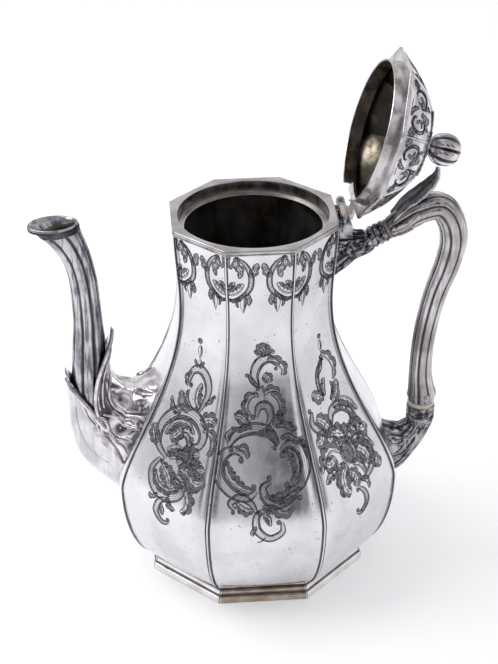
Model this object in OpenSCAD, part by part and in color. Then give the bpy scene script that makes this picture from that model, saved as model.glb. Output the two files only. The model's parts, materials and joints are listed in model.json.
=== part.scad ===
// Eight-sided pear-shaped coffee pot with a hinged domed lid, a cast spout and a scroll handle.
// Origin: centre of the foot on the table. +Z up, spout towards -X, handle and hinge towards +X.

/* [Body] */
// Height of the rim above the table
rim_height = 210; // [190:1:225]
// Corner radius of the eight-sided rim
rim_r = 46; // [44:0.5:50]
// How far the corners of the neck's waist lie inside the rim's
waist_in = 2.4; // [0.5:0.1:4]
// Distance of the waist below the rim
waist_drop = 43; // [36:1:52]
// Corner radius of the belly at its widest
belly_r = 81.5; // [76:0.5:86]
// Height of the widest part of the belly
belly_height = 61; // [56:1:68]
// Corner radius where the body meets the foot
seat_r = 60.5; // [58:0.5:64]
// Thickness of the sheet metal of the body
body_wall = 1; // [0.8:0.1:1.6]
// Outward bow of each belly panel at the middle of its width
panel_bow = 2.2; // [0:0.1:3.5]
// Steepness of the sweep from belly to neck
neck_sweep = 0.75; // [0.7:0.01:0.85]
// Thickness of the flat bottom plate
base_t = 1.4; // [1:0.1:2.5]

/* [Foot] */
// Height of the foot
foot_height = 12; // [9:0.5:14]
// How far the foot's corners on the table stand out from the body's seat
foot_out = 3.5; // [1.5:0.1:6]
// Height of the lower upright band of the foot
foot_band = 4; // [2:0.1:4.5]
// Thickness of the foot's metal
foot_wall = 2.4; // [1.6:0.1:4]

/* [Rim and lid seat] */
// Height of the moulded band round the rim
rim_band_h = 4.6; // [3:0.1:7]
// How far the band stands out from the body
rim_band_t = 0.7; // [0.4:0.1:1.2]
// Thickness of the collar's sheet
collar_wall = 0.9; // [0.7:0.1:1.2]
// Width of the flat top between the rim's flat sides and the round collar
plate_w = 2.9; // [2.2:0.1:4]
// Depth of the ledge below the rim
collar_depth = 6.8; // [6:0.1:9]
// Width of the ledge inside the collar
ledge_w = 3.4; // [2.4:0.1:5]

/* [Spout] */
// Distance of the upright tube's middle in front of the belly's corners
spout_out = 7.7; // [5:0.1:14]
// Diameter of the upright tube from back to front
spout_d = 14.8; // [13:0.1:17]
// Width of the upright tube from side to side
spout_w = 15.2; // [13:0.1:17]
// Height of the middle of the spout's root above the belly's widest part
spout_root_rise = 19; // [14:1:23]
// Height of the root
spout_root_h = 66; // [58:1:70]
// Width of the root
spout_root_w = 45; // [36:0.5:46]
// Distance of the pouring lip below the rim
spout_drop = 2; // [-2:0.5:14]
// Length of the oval lip
lip_l = 26.6; // [22:0.2:30]
// Width of the oval lip
lip_w = 19.4; // [17:0.2:22]
// Distance of the lip's middle in front of the upright tube
lip_throw = 15; // [10:0.2:18]
// Wall of the cast spout
spout_wall = 1.5; // [1.1:0.1:2]
// Thickness of the leaf sheath round the root
sheath_t = 1.6; // [1.2:0.1:2.2]
// How far the tips of the sheath's leaves curl away from the tube
tip_curl = 3; // [1.5:0.1:4]
// Diameter of the strainer holes behind the spout
strainer_d = 4; // [3:0.1:5]
// Distance between strainer holes
strainer_pitch = 7.5; // [6.5:0.1:9]

/* [Handle] */
// Distance of the grip's outermost bend from the belly's corners
handle_out = 25.1; // [19:0.1:32]
// Height of the grip's top bend above the rim
handle_rise = 0; // [-8:0.2:1]
// Thickness of the grip from back to front
grip_d = 13; // [11:0.1:15]
// Width of the grip from side to side
grip_w = 14.4; // [12:0.1:17]
// Wall of the hollow grip
grip_wall = 1.8; // [1.4:0.1:3]
// Distance of the upper ribbed joint below the rim
upper_joint_drop = 15.2; // [14:0.2:22]
// Distance of the upper ribbed joint from the rim's corners
upper_joint_out = 20; // [18:0.2:23]
// Slope of the upper joint above the horizontal
upper_slope = 27; // [22:1:32]
// Height of the lower ribbed joint above the belly's widest part
lower_joint_rise = 21.9; // [18:0.1:27]
// Distance of the lower ribbed joint from the belly's corners
lower_joint_out = 12.3; // [10.5:0.1:15]
// Distance of the middle of the upper socket's root below the rim
upper_root_drop = 24.6; // [24:0.2:30]
// Height of the upper socket's root
upper_root_h = 30; // [26:1:31]
// Width of the upper socket's root
upper_root_w = 24; // [18:1:30]
// Distance of the middle of the lower socket's root below the belly's widest part
lower_root_drop = 1; // [-3:0.5:5]
// Height of the lower socket's root
lower_root_h = 34; // [28:1:38]
// Width of the lower socket's root
lower_root_w = 22; // [18:1:30]
// Radius of the upper ribbed ferrule
upper_ferrule_r = 6; // [5.4:0.1:7.4]
// Radius of the lower ribbed ferrule
lower_ferrule_r = 8; // [6.4:0.1:8.8]
// Length of a ribbed ferrule
ferrule_l = 9.6; // [6:0.1:11]
// Depth of the grooves between the ribs
ferrule_groove = 0.9; // [0.3:0.1:1.2]
// Thickness of an insulating washer
washer_t = 2.4; // [1.5:0.1:4]
// Diameter of the tenons that hold the grip
tenon_d = 5.6; // [4.6:0.1:6]
// Length of a tenon inside its socket
tenon_in = 7; // [5.5:0.5:7.5]
// Length of a tenon inside the grip
tenon_out = 6; // [4:0.5:7]
// Diameter of the cross pins through the tenons
cross_pin_d = 1.6; // [1.2:0.1:2.2]
// Thickness of the curled leaf on the handle
leaf_t = 3.8; // [2:0.1:4.4]
// Width of the curled leaf
leaf_w = 17; // [13:0.5:20]
// Height of the curled leaf's tip above the grip's top bend
leaf_rise = 21.6; // [16:0.2:22]
// Distance of the curled leaf's tip inside the grip's outermost bend
leaf_in = 10.6; // [8:0.2:14]

/* [Hinge] */
// Distance of the hinge line from the rim's corners
hinge_out = 1.6; // [1.4:0.1:4]
// Distance of the hinge line below the rim
hinge_drop = 2.2; // [1.9:0.1:3]
// Radius of the hinge knuckles
knuckle_r = 2.4; // [2.1:0.1:3]
// Length of the hinge from side to side
hinge_l = 32; // [24:0.5:34]
// Diameter of the hinge pin
hinge_pin_d = 2; // [1.6:0.1:2.4]
// Depth of the shelf under the hinge knuckles
shelf_h = 2; // [1.4:0.1:2.2]
// Gap round the hinge pin
pin_gap = 0.05; // [0.02:0.01:0.1]
// Gap between neighbouring knuckles
knuckle_gap = 0.3; // [0.2:0.05:0.6]
// Thickness of the lid's hinge strap
strap_t = 1.4; // [1:0.1:1.6]
// Opening angle of the lid
lid_open = 107.2; // [95:0.2:109]

/* [Lid] */
// How far the corners of the lid's edge lie inside the rim's
lid_inset = 1.2; // [0.6:0.1:2.6]
// Gap between the closed lid and the rim
lid_gap = 0.3; // [0.2:0.05:0.6]
// Height of the lid's upright edge
lid_edge_h = 1.9; // [1.4:0.1:3]
// How far the dome's foot lies inside the lid's edge
dome_inset = 1.2; // [0.6:0.1:2]
// Rise of the dome above its edge
dome_h = 23; // [18:0.5:30]
// Thickness of the dome's sheet
dome_wall = 1; // [0.8:0.1:1.6]
// Clearance of the locating flange in the collar
bezel_clearance = 2.3; // [1:0.1:3]
// Thickness of the locating flange
bezel_wall = 1; // [0.8:0.1:1.6]
// Gap between the closed lid's flange and the ledge
bezel_lift = 1.5; // [0.6:0.1:4]
// Half-width of the cut in the flange at the hinge
bezel_cut = 15; // [12:0.5:24]

/* [Finial] */
// Radius of the bud
bud_r = 9; // [7:0.1:9.4]
// Height of the bud
bud_h = 17.6; // [14:0.1:19]
// Length of the stem under the bud
bud_stem = 0.8; // [0.6:0.1:4]
// Number of lobes of the bud
bud_lobes = 8; // [6:1:12]
// Radius of the leaf rosette under the bud
rosette_r = 21; // [16:0.5:25]
// Number of leaves of the rosette
rosette_leaves = 8; // [5:1:10]
// Thickness of the rosette
rosette_t = 1.4; // [1:0.1:2]
// Diameter of the finial's threaded stud
stud_d = 4; // [3:0.1:5]

/* [Hidden] */
$fn = 64;
SIDES = 8;
CORNER = 180 / SIDES;
SEG = 3;
FLAT = cos(CORNER);
TOUCH = 0.02;
waist_r = rim_r - waist_in;
waist_height = rim_height - waist_drop;
foot_r = seat_r + foot_out;
plate_z = rim_height - collar_wall;
collar_r = rim_r * FLAT - plate_w;
mouth_r = collar_r - ledge_w;
ledge_top = rim_height - collar_depth;
spout_stand = belly_r + spout_out;
spout_root_z = belly_height + spout_root_rise;
spout_top = rim_height - spout_drop;
handle_reach = belly_r + handle_out;
handle_top = rim_height + handle_rise;
upper_joint_x = rim_r + upper_joint_out;
upper_joint_z = rim_height - upper_joint_drop;
lower_joint_x = belly_r + lower_joint_out;
lower_joint_z = belly_height + lower_joint_rise;
upper_root_z = rim_height - upper_root_drop;
lower_root_z = belly_height - lower_root_drop;
hinge_x = rim_r + hinge_out;
hinge_z = rim_height - hinge_drop;
lid_r = rim_r - lid_inset;
lid_z = rim_height + lid_gap;
dome_top = lid_z + lid_edge_h + dome_h;
bezel_r = collar_r - bezel_clearance;
bezel_low = ledge_top + bezel_lift;
centre_knuckle = hinge_l / 3;
ferrule_out = ferrule_l / 2;
joint_l = ferrule_l + washer_t;

// ---- curves and skins -------------------------------------------------------------------------

// One span of a Catmull-Rom curve
function span(a, b, c, d, t) =
    0.5 * (2 * b + (c - a) * t + (2 * a - 5 * b + 4 * c - d) * t * t + (3 * b - a - 3 * c + d) * t * t * t);

// Row of a table at a fractional index, read from the smooth curve through its rows
function row_at(rows, s) =
    let (last = len(rows) - 1, i = min(floor(s), last - 1), t = s - i)
    span(rows[max(i - 1, 0)], rows[i], rows[i + 1], rows[min(i + 2, last)], t);

// Point in the ground plane at a radius and an angle
function polar(r, a) = [r * cos(a), r * sin(a)];

// Eight-sided ring with its panels bowed outwards
function ring8(r, z, bow = 0) = [
    for (i = [0 : SIDES - 1], k = [0 : SEG - 1])
        let (a = CORNER + 2 * CORNER * i, t = k / SEG, out = 4 * bow * t * (1 - t),
             p = (1 - t) * polar(r, a) + t * polar(r, a + 2 * CORNER) + polar(out, a + CORNER))
        [p[0], p[1], z]
];

// Solid between rings of equal length; a loop joins the last ring to the first
module skin(rings, loop = false) {
    m = len(rings[0]);
    n = len(rings);
    sides = [
        for (i = [0 : n - (loop ? 1 : 2)], j = [0 : m - 1])
            let (a = i * m + j, b = i * m + (j + 1) % m, c = ((i + 1) % n) * m + (j + 1) % m,
                 d = ((i + 1) % n) * m + j)
            each [[a, d, c], [a, c, b]]
    ];
    low = [for (j = [0 : m - 1]) j];
    high = [for (j = [m - 1 : -1 : 0]) (n - 1) * m + j];
    polyhedron([for (r = rings) each r], loop ? sides : concat(sides, [low, high]));
}

// ---- outline of the body ----------------------------------------------------------------------

neck_step = (rim_r - waist_r);
tuck = belly_r - seat_r;
tuck_drop = belly_height - foot_height;

// Corner radius of the body at a height
function body_r(z) =
    z >= waist_height
    ? waist_r + neck_step * (1 - cos(180 * (z - waist_height) / (rim_height - waist_height))) / 2
    : z >= belly_height
    ? waist_r + (belly_r - waist_r)
        * (1 + cos(180 * pow((z - belly_height) / (waist_height - belly_height), neck_sweep))) / 2
    : belly_r - tuck * (1 - sqrt(max(0, 1 - pow((belly_height - z) / tuck_drop, 2))));

// Bow of the panels at a height: full on the belly, none at the rim
function bow_at(z) = panel_bow * (body_r(z) - waist_r) / (belly_r - waist_r);

// Distance of the panel facing +X or -X from the axis, at a height and a distance from its middle
function panel_x(z, y) =
    let (half = body_r(z) * sin(CORNER), f = min(1, abs(y) / half))
    body_r(z) * FLAT + bow_at(z) * (1 - f * f);

BODY_STEPS = 26;
body_z = [for (i = [0 : BODY_STEPS]) foot_height + (plate_z - foot_height) * pow(i / BODY_STEPS, 1.4)];

// Lift of the inner skin, which keeps the wall's thickness where the belly turns under
function under_lift(z) = 0.6 * body_wall * pow(max(0, (belly_height - z) / tuck_drop), 6);

module body_shell() color("#d5d4dc") difference() {
    skin(concat(
        [for (z = body_z) ring8(body_r(z), z, bow_at(z))],
        [for (i = [BODY_STEPS : -1 : 0]) let (z = body_z[i])
            ring8(body_r(z) - body_wall / FLAT, z + (i > 0 ? under_lift(z) : 0), bow_at(z))]
    ), loop = true);
    for (p = strainer_holes())
        translate([-belly_r, p[0], p[1]])
            rotate([0, 90, 0]) cylinder(d = strainer_d, h = belly_r / 2, $fn = 24);
}

// Strainer holes in staggered rows inside the spout's root
function strainer_holes() =
    let (rows = floor((spout_root_h / 2 - spout_wall - strainer_d) / strainer_pitch) - 1)
    [for (j = [-rows : rows], i = [-1 : 1])
        let (y = (i + (abs(j) % 2) / 2) * strainer_pitch, z = spout_root_z + j * strainer_pitch * 0.87)
        if (abs(y) + strainer_d < spout_root_w / 2 - sheath_t - spout_wall) [y, z]];

module base_plate() color("#b9b6bb")
    translate([0, 0, foot_height])
        rotate([0, 0, CORNER])
            cylinder(r = seat_r - 1.6 * body_wall / FLAT, h = base_t, $fn = SIDES);

// Foot: a hollow upright band with a stepped cove and a flat top that carries the body
module foot_ring() color("#cbc4bf") {
    step = foot_height - foot_band;
    lap = foot_band / 3;
    neck_r = seat_r + 0.3;
    difference() {
        rotate([0, 0, CORNER]) cylinder(r = foot_r, h = foot_band, $fn = SIDES);
        translate([0, 0, -1]) rotate([0, 0, CORNER])
            cylinder(r = foot_r - foot_wall, h = foot_band + 2, $fn = SIDES);
    }
    skin([
        ring8(foot_r - 1, foot_band - lap),
        ring8(foot_r - 1.2, foot_band + 0.1 * step),
        ring8(foot_r - 2, foot_band + 0.34 * step),
        ring8(foot_r - 1.8, foot_band + 0.48 * step),
        ring8(neck_r, foot_band + 0.54 * step),
        ring8(neck_r, foot_height),
        ring8(seat_r - 9, foot_height),
        ring8(seat_r - 9, foot_height - foot_wall / 2),
        ring8(neck_r - foot_wall, foot_height - foot_wall / 2),
        ring8(neck_r - foot_wall, foot_band - lap)
    ], loop = true);
}

// ---- rim --------------------------------------------------------------------------------------

module rim_moulding() color("#c9c8d0") {
    low = plate_z - rim_band_h;
    out = rim_band_t / FLAT;
    skin([
        ring8(body_r(low) + 2 * TOUCH, low, bow_at(low)),
        ring8(body_r(low) + out, low + 0.8, bow_at(low)),
        ring8(body_r(plate_z) + out, plate_z, bow_at(plate_z)),
        ring8(body_r(plate_z) + 2 * TOUCH, plate_z, bow_at(plate_z))
    ], loop = true);
}

module lid_seat_collar() color("#9c938f") {
    difference() {
        translate([0, 0, plate_z]) rotate([0, 0, CORNER])
            cylinder(r = rim_r + rim_band_t / FLAT, h = collar_wall, $fn = SIDES);
        translate([0, 0, plate_z - 1]) cylinder(r = collar_r, h = collar_wall + 2);
    }
    difference() {
        translate([0, 0, ledge_top - collar_wall])
            cylinder(r = collar_r + collar_wall, h = plate_z - ledge_top + collar_wall);
        translate([0, 0, ledge_top]) cylinder(r = collar_r, h = collar_depth + 1);
        translate([0, 0, ledge_top - 2 * collar_wall]) cylinder(r = mouth_r, h = collar_depth);
    }
}

// ---- spout ------------------------------------------------------------------------------------

AROUND = 24;
rise = spout_top - spout_root_z;
upright = -spout_stand;
// Sections from root to lip: centre x, centre z, tilt, half depth, half width
spout_rows = [
    [upright + 11.8, spout_root_z + 0.010 * rise, 68, 0.445 * spout_root_h, 0.41 * spout_root_w],
    [upright + 4.6, spout_root_z + 0.058 * rise, 61, 0.385 * spout_root_h, 0.34 * spout_root_w],
    [upright + 0.3, spout_root_z + 0.137 * rise, 52, 0.305 * spout_root_h, 0.275 * spout_root_w],
    [upright - 0.9, spout_root_z + 0.242 * rise, 40, 1.95 * spout_d / 2, 1.38 * spout_w / 2],
    [upright - 0.4, spout_root_z + 0.368 * rise, 24, 1.38 * spout_d / 2, 1.18 * spout_w / 2],
    [upright + 0.2, spout_root_z + 0.525 * rise, 3, 1.06 * spout_d / 2, 1.05 * spout_w / 2],
    [upright - 0.2, spout_root_z + 0.636 * rise, 2, spout_d / 2, spout_w / 2],
    [upright - 1.2, spout_root_z + 0.742 * rise, 8, 0.98 * spout_d / 2, 0.96 * spout_w / 2],
    [upright - 3.6, spout_root_z + 0.838 * rise, 13, spout_d / 2, 0.95 * spout_w / 2],
    [upright - 0.53 * lip_throw, spout_root_z + 0.918 * rise, 13, 0.66 * lip_l / 2, 0.78 * lip_w / 2],
    [upright - lip_throw + 3, spout_top - 4.6, 8, 0.82 * lip_l / 2, 0.88 * lip_w / 2]
];
SPOUT_LAST = len(spout_rows) - 1;

// Point on the spout's skin: s along the rows, a round the tube, grown by off.
// At s = -1 the skin lies on the body's panel.
ROOT_SQUARE = 0.72;
function squared(v) = sign(v) * pow(abs(v), ROOT_SQUARE);
function root_point(a, off) =
    let (y = (spout_root_w / 2 + off) * squared(sin(a)),
         z = spout_root_z - (spout_root_h / 2 + off) * squared(cos(a)))
    [-(panel_x(z, y) + TOUCH), y, z];
function spout_point(s, a, off) =
    let (r = row_at(spout_rows, max(s, 0)), h = r[3] + off, b = r[4] + off,
         p = [r[0] - h * cos(a) * cos(r[2]), b * sin(a), r[1] - h * cos(a) * sin(r[2])])
    s >= 0 ? p : (1 + s) * p - s * root_point(a, off);

// The tube is drawn in under the sheath
function under_sheath(s) = -sheath_t * max(0, min(1, 4 - s));

// Narrow flutes along the upright tube, as a change of radius round it
function flute(s, a) = s < 3 ? 0 : -0.35 * min(1, s - 3) * pow(abs(sin(4 * a)), 6);

module spout_tube() color("#cfced6") {
    steps = 3;
    stations = [for (i = [-steps : SPOUT_LAST * 2]) i < 0 ? i / steps : i / 2];
    skin(concat(
        [for (s = stations) [for (j = [0 : AROUND - 1])
            let (a = -360 * j / AROUND) spout_point(s, a, flute(s, a) + under_sheath(s))]],
        [for (i = [len(stations) - 1 : -1 : 0]) [for (j = [0 : AROUND - 1])
            let (s = stations[i], a = -360 * j / AROUND)
            spout_point(s, a, under_sheath(s) - spout_wall)]]
    ), loop = true);
}

// Flared oval lip that finishes the tube
lip_low = spout_rows[SPOUT_LAST];
LIP_H = 4.6;
LIP_POINTS = 36;
function lip_ring(l, w, x, z) = [
    for (j = [0 : LIP_POINTS - 1])
        let (a = -360 * j / LIP_POINTS, f = (spout_top - z) / LIP_H)
        [x - l / 2 * cos(a) * (1 - f * (1 - cos(lip_low[2]))), w / 2 * sin(a),
         z - l / 2 * cos(a) * sin(lip_low[2]) * f - 0.6 * cos(a) * (1 - f)]
];

module spout_lip() color("#bdbbc4") {
    low = lip_low[1];
    x0 = lip_low[0];
    x1 = upright - lip_throw;
    skin([
        lip_ring(2 * lip_low[3], 2 * lip_low[4], x0, low + TOUCH),
        lip_ring(0.93 * lip_l, 0.94 * lip_w, (x0 + x1) / 2, low + 0.6 * LIP_H),
        lip_ring(lip_l, lip_w, x1, spout_top - 1.2),
        lip_ring(lip_l, lip_w, x1, spout_top),
        lip_ring(lip_l - 2, lip_w - 2, x1, spout_top + 0.5),
        lip_ring(lip_l - 5, lip_w - 4.4, x1 + 0.4, spout_top),
        lip_ring(2 * (lip_low[3] - spout_wall), 2 * (lip_low[4] - spout_wall), x0, low + TOUCH)
    ], loop = true);
}

// Leaf sheath: it wraps the root and runs out in a long leaf in front and another behind.
// Reach is how far its edge runs along the spout at an angle round it; lift curls the tips outwards.
SHEATH_RINGS = 8;
function sheath_reach(a) = 0.9 + 3.1 * pow(abs(cos(a)), 3) + (cos(a) < 0 ? 0.9 * pow(-cos(a), 6) : 0);
function sheath_lift(a, f) = tip_curl * pow(f, 4) * pow(abs(cos(a)), 4);
function sheath_point(i, a, off) =
    let (f = i / SHEATH_RINGS, s = -1 + f * (1 + sheath_reach(a)))
    spout_point(s, a, off + sheath_lift(a, f) + under_sheath(s));

module spout_sheath() color("#b4b2ba")
    skin(concat(
        [for (i = [0 : SHEATH_RINGS]) [for (j = [0 : AROUND - 1])
            sheath_point(i, -360 * j / AROUND, sheath_t)]],
        [for (i = [SHEATH_RINGS : -1 : 0]) [for (j = [0 : AROUND - 1])
            sheath_point(i, -360 * j / AROUND, TOUCH + 0.4 * sheath_t * pow(i / SHEATH_RINGS, 6))]]
    ), loop = true);

// ---- handle -----------------------------------------------------------------------------------

// Places its children along the axis of the upper joint, whose +Z runs up into the grip
module at_upper_joint(along = 0)
    translate([upper_joint_x, 0, upper_joint_z])
        rotate([0, 90 - upper_slope, 0])
            translate([0, 0, along]) children();

// Places its children at the lower joint, whose +Z runs up into the grip
module at_lower_joint(along = 0)
    translate([lower_joint_x, 0, lower_joint_z]) translate([0, 0, along]) children();

function upper_axis(t) = [upper_joint_x + t * cos(upper_slope), upper_joint_z + t * sin(upper_slope)];

upper_end = upper_axis(ferrule_out + washer_t);
lower_end = [lower_joint_x, lower_joint_z + ferrule_out + washer_t];
grip_drop = handle_top - lower_end[1];
grip_h = grip_d / 2;
grip_b = grip_w / 2;
grip_run = handle_reach - upper_end[0];
// Centre line of the grip with its half thickness and half width
grip_rows = [
    [upper_end[0], upper_end[1], 0.86 * grip_h, 0.9 * grip_b],
    [upper_end[0] + 0.24 * grip_run, handle_top - 6.0, 1.02 * grip_h, 1.04 * grip_b],
    [upper_end[0] + 0.5 * grip_run, handle_top - 1.4, 1.12 * grip_h, 1.14 * grip_b],
    [upper_end[0] + 0.76 * grip_run, handle_top - 0.4, 1.16 * grip_h, 1.16 * grip_b],
    [handle_reach - 2.2, handle_top - 0.07 * grip_drop, 1.16 * grip_h, 1.12 * grip_b],
    [handle_reach, handle_top - 0.17 * grip_drop, 1.16 * grip_h, 1.1 * grip_b],
    [handle_reach - 2.6, handle_top - 0.29 * grip_drop, 1.1 * grip_h, 1.06 * grip_b],
    [handle_reach - 7.6, handle_top - 0.42 * grip_drop, 1.03 * grip_h, grip_b],
    [lower_end[0] + 1.6, handle_top - 0.56 * grip_drop, 0.98 * grip_h, 0.96 * grip_b],
    [lower_end[0] - 0.6, handle_top - 0.70 * grip_drop, 0.96 * grip_h, 0.94 * grip_b],
    [lower_end[0] - 1.2, handle_top - 0.84 * grip_drop, 0.98 * grip_h, 0.94 * grip_b],
    [lower_end[0] - 0.3, handle_top - 0.925 * grip_drop, 1.13 * grip_h, 1.06 * grip_b],
    [lower_end[0] + 0.2, handle_top - 0.965 * grip_drop, 1.27 * grip_h, 1.18 * grip_b],
    [lower_end[0], lower_end[1], 1.1 * grip_h, 1.02 * grip_b]
];

// Ring square to a centre line at row index s; the ends follow the joints
function bend_ring(rows, s, grow, first_dir, last_dir, facet = 0) =
    let (last = len(rows) - 1, e = 0.02,
         p = row_at(rows, s), q0 = row_at(rows, max(0, s - e)), q1 = row_at(rows, min(last, s + e)),
         d = s == 0 ? first_dir : s == last ? last_dir : [q1[0] - q0[0], q1[1] - q0[1]],
         u = d / norm(d), h = p[2] + grow, b = p[3] + grow)
    [for (j = [0 : AROUND - 1]) let (a = -360 * j / AROUND, k = 1 - facet * pow(abs(sin(4 * a)), 2))
        [p[0] - u[1] * h * k * cos(a), b * k * sin(a), p[1] + u[0] * h * k * cos(a)]];

module handle_grip() color("#cdccd4") {
    last = len(grip_rows) - 1;
    up = [cos(upper_slope), sin(upper_slope)];
    down = [0, -1];
    stations = [for (i = [0 : 2 * last]) i / 2];
    skin(concat(
        [for (s = stations) bend_ring(grip_rows, s, 0, up, down, 0.06)],
        [for (i = [2 * last : -1 : 0]) bend_ring(grip_rows, i / 2, -grip_wall, up, down)]
    ), loop = true);
}

// Leaf that rises from the top of the handle and curls up behind the finial
module handle_leaf() color("#b7b5bd") {
    base = upper_end;
    tip_x = handle_reach - leaf_in;
    run = tip_x - base[0];
    rows = [
        [base[0] + 1, base[1] + 0.86 * grip_h + 0.9, leaf_t / 2, 0.36 * leaf_w],
        [base[0] + 0.30 * run, handle_top + 0.09 * leaf_rise, leaf_t / 2, 0.47 * leaf_w],
        [base[0] + 0.56 * run, handle_top + 0.31 * leaf_rise, 0.62 * leaf_t, 0.5 * leaf_w],
        [base[0] + 0.80 * run, handle_top + 0.54 * leaf_rise, 0.62 * leaf_t, 0.44 * leaf_w],
        [tip_x - 0.6, handle_top + 0.78 * leaf_rise, leaf_t / 2, 0.3 * leaf_w],
        [tip_x, handle_top + leaf_rise, 0.36 * leaf_t, 0.12 * leaf_w]
    ];
    last = len(rows) - 1;
    skin([for (i = [0 : 3 * last])
        bend_ring(rows, i / 3, 0, [cos(40), sin(40)], [0, 1])]);
}

// Ribbed ferrule turned about the axis of a joint
module ferrule(r) {
    rib = ferrule_l / 3;
    bore = tenon_d / 2 + TOUCH;
    translate([0, 0, -ferrule_out]) rotate_extrude()
        polygon(concat(
            [[bore, 0]],
            [for (i = [0 : 2]) each [
                [r - ferrule_groove, i * rib], [r, (i + 0.25) * rib],
                [r, (i + 0.75) * rib], [r - ferrule_groove, (i + 1) * rib]]],
            [[bore, ferrule_l]]
        ));
}

module insulating_washer(r) difference() {
    translate([0, 0, ferrule_out]) cylinder(r = r, h = washer_t);
    translate([0, 0, ferrule_out - 1]) cylinder(d = tenon_d + 2 * TOUCH, h = washer_t + 2);
}

// Height of the inner cross pin along a joint, and of the outer one
pin_in = -ferrule_out - tenon_in / 2;
pin_out = ferrule_out + washer_t + tenon_out / 2;

module pin_hole(along, d) translate([0, 0, along]) rotate([90, 0, 0])
    cylinder(d = d, h = 40, center = true, $fn = 24);

module tenon() difference() {
    translate([0, 0, -ferrule_out - tenon_in]) cylinder(d = tenon_d, h = tenon_in + joint_l + tenon_out);
    pin_hole(pin_in, cross_pin_d);
    pin_hole(pin_out, cross_pin_d);
}

module upper_ferrule() color("#a9a7ae") at_upper_joint() ferrule(upper_ferrule_r);
module lower_ferrule() color("#a9a7ae") at_lower_joint() ferrule(lower_ferrule_r);
module upper_washer() color("#d8d0c0") at_upper_joint() insulating_washer(0.9 * upper_ferrule_r);
module lower_washer() color("#d8d0c0") at_lower_joint() insulating_washer(0.93 * lower_ferrule_r);
module upper_tenon() color("#8f8c90") at_upper_joint() tenon();
module lower_tenon() color("#8f8c90") at_lower_joint() tenon();

// Cross pins that hold the tenons in the sockets
module tenon_pins() color("#c4c2ca") {
    length = 2 * (upper_ferrule_r - ferrule_groove) - 1;
    at_upper_joint(pin_in) rotate([90, 0, 0])
        cylinder(d = cross_pin_d - 2 * TOUCH, h = length, center = true, $fn = 24);
    at_lower_joint(pin_in) rotate([90, 0, 0])
        cylinder(d = cross_pin_d - 2 * TOUCH, h = length, center = true, $fn = 24);
}

// Root of a socket: a ring that lies on the panel facing +X
function socket_root(z0, h, b) = [for (j = [0 : AROUND - 1])
    let (a = -360 * j / AROUND, y = b * sin(a), z = z0 + h * cos(a)) [panel_x(z, y) + 2 * TOUCH, y, z]];

// Ring square to a direction in the XZ plane
function socket_ring(x, z, slope, h, b) = [for (j = [0 : AROUND - 1]) let (a = -360 * j / AROUND)
    [x - sin(slope) * h * cos(a), b * sin(a), z + cos(slope) * h * cos(a)]];

// Sockets, bored for their tenons and drilled for the cross pins
module upper_socket() color("#b9b7bf") difference() {
    root_x = panel_x(upper_root_z, 0);
    root_h = upper_root_h / 2;
    root_b = upper_root_w / 2;
    neck = upper_axis(-ferrule_out - 4);
    end = upper_axis(-ferrule_out);
    end_r = upper_ferrule_r - ferrule_groove;
    skin([
        socket_root(upper_root_z, 1, 1),
        socket_root(upper_root_z, root_h, root_b),
        socket_ring(root_x + 5.5, upper_root_z + 2.6, 12, 0.68 * root_h, 0.83 * root_b),
        socket_ring(root_x + 10, upper_root_z + 4.6, 22, 0.52 * root_h, 0.68 * root_b),
        socket_ring(neck[0], neck[1], upper_slope, end_r + 1, end_r + 1),
        socket_ring(end[0] - TOUCH, end[1], upper_slope, end_r, end_r)
    ]);
    at_upper_joint(-ferrule_out - tenon_in) cylinder(d = tenon_d + 2 * TOUCH, h = tenon_in + 5);
    at_upper_joint() pin_hole(pin_in, cross_pin_d);
}

module lower_socket() color("#b9b7bf") difference() {
    root_x = panel_x(lower_root_z, 0);
    root_h = lower_root_h / 2;
    root_b = lower_root_w / 2;
    low = lower_joint_z - ferrule_out;
    end_r = lower_ferrule_r - ferrule_groove;
    skin([
        socket_root(lower_root_z, 1, 1),
        socket_root(lower_root_z, root_h, root_b),
        socket_ring(root_x + 4.6, lower_root_z + 1, 4, 0.76 * root_h, 0.87 * root_b),
        socket_ring(root_x + 9, lower_root_z + 6, 30, 0.5 * root_h, 0.73 * root_b),
        socket_ring(lower_joint_x - 2.4, low - 6, 58, end_r - 0.7, end_r),
        socket_ring(lower_joint_x, low - TOUCH, 90, end_r, end_r)
    ]);
    at_lower_joint(-ferrule_out - tenon_in) cylinder(d = tenon_d + 2 * TOUCH, h = tenon_in + 5);
    at_lower_joint() pin_hole(pin_in, cross_pin_d);
}

// ---- hinge ------------------------------------------------------------------------------------

pin_bore_r = hinge_pin_d / 2 + pin_gap;

module knuckle(y0, y1) translate([hinge_x, y1, hinge_z]) rotate([90, 0, 0])
    cylinder(r = knuckle_r, h = y1 - y0);

module hinge_bore() translate([hinge_x, hinge_l, hinge_z]) rotate([90, 0, 0])
    cylinder(r = pin_bore_r, h = 2 * hinge_l);

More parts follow.
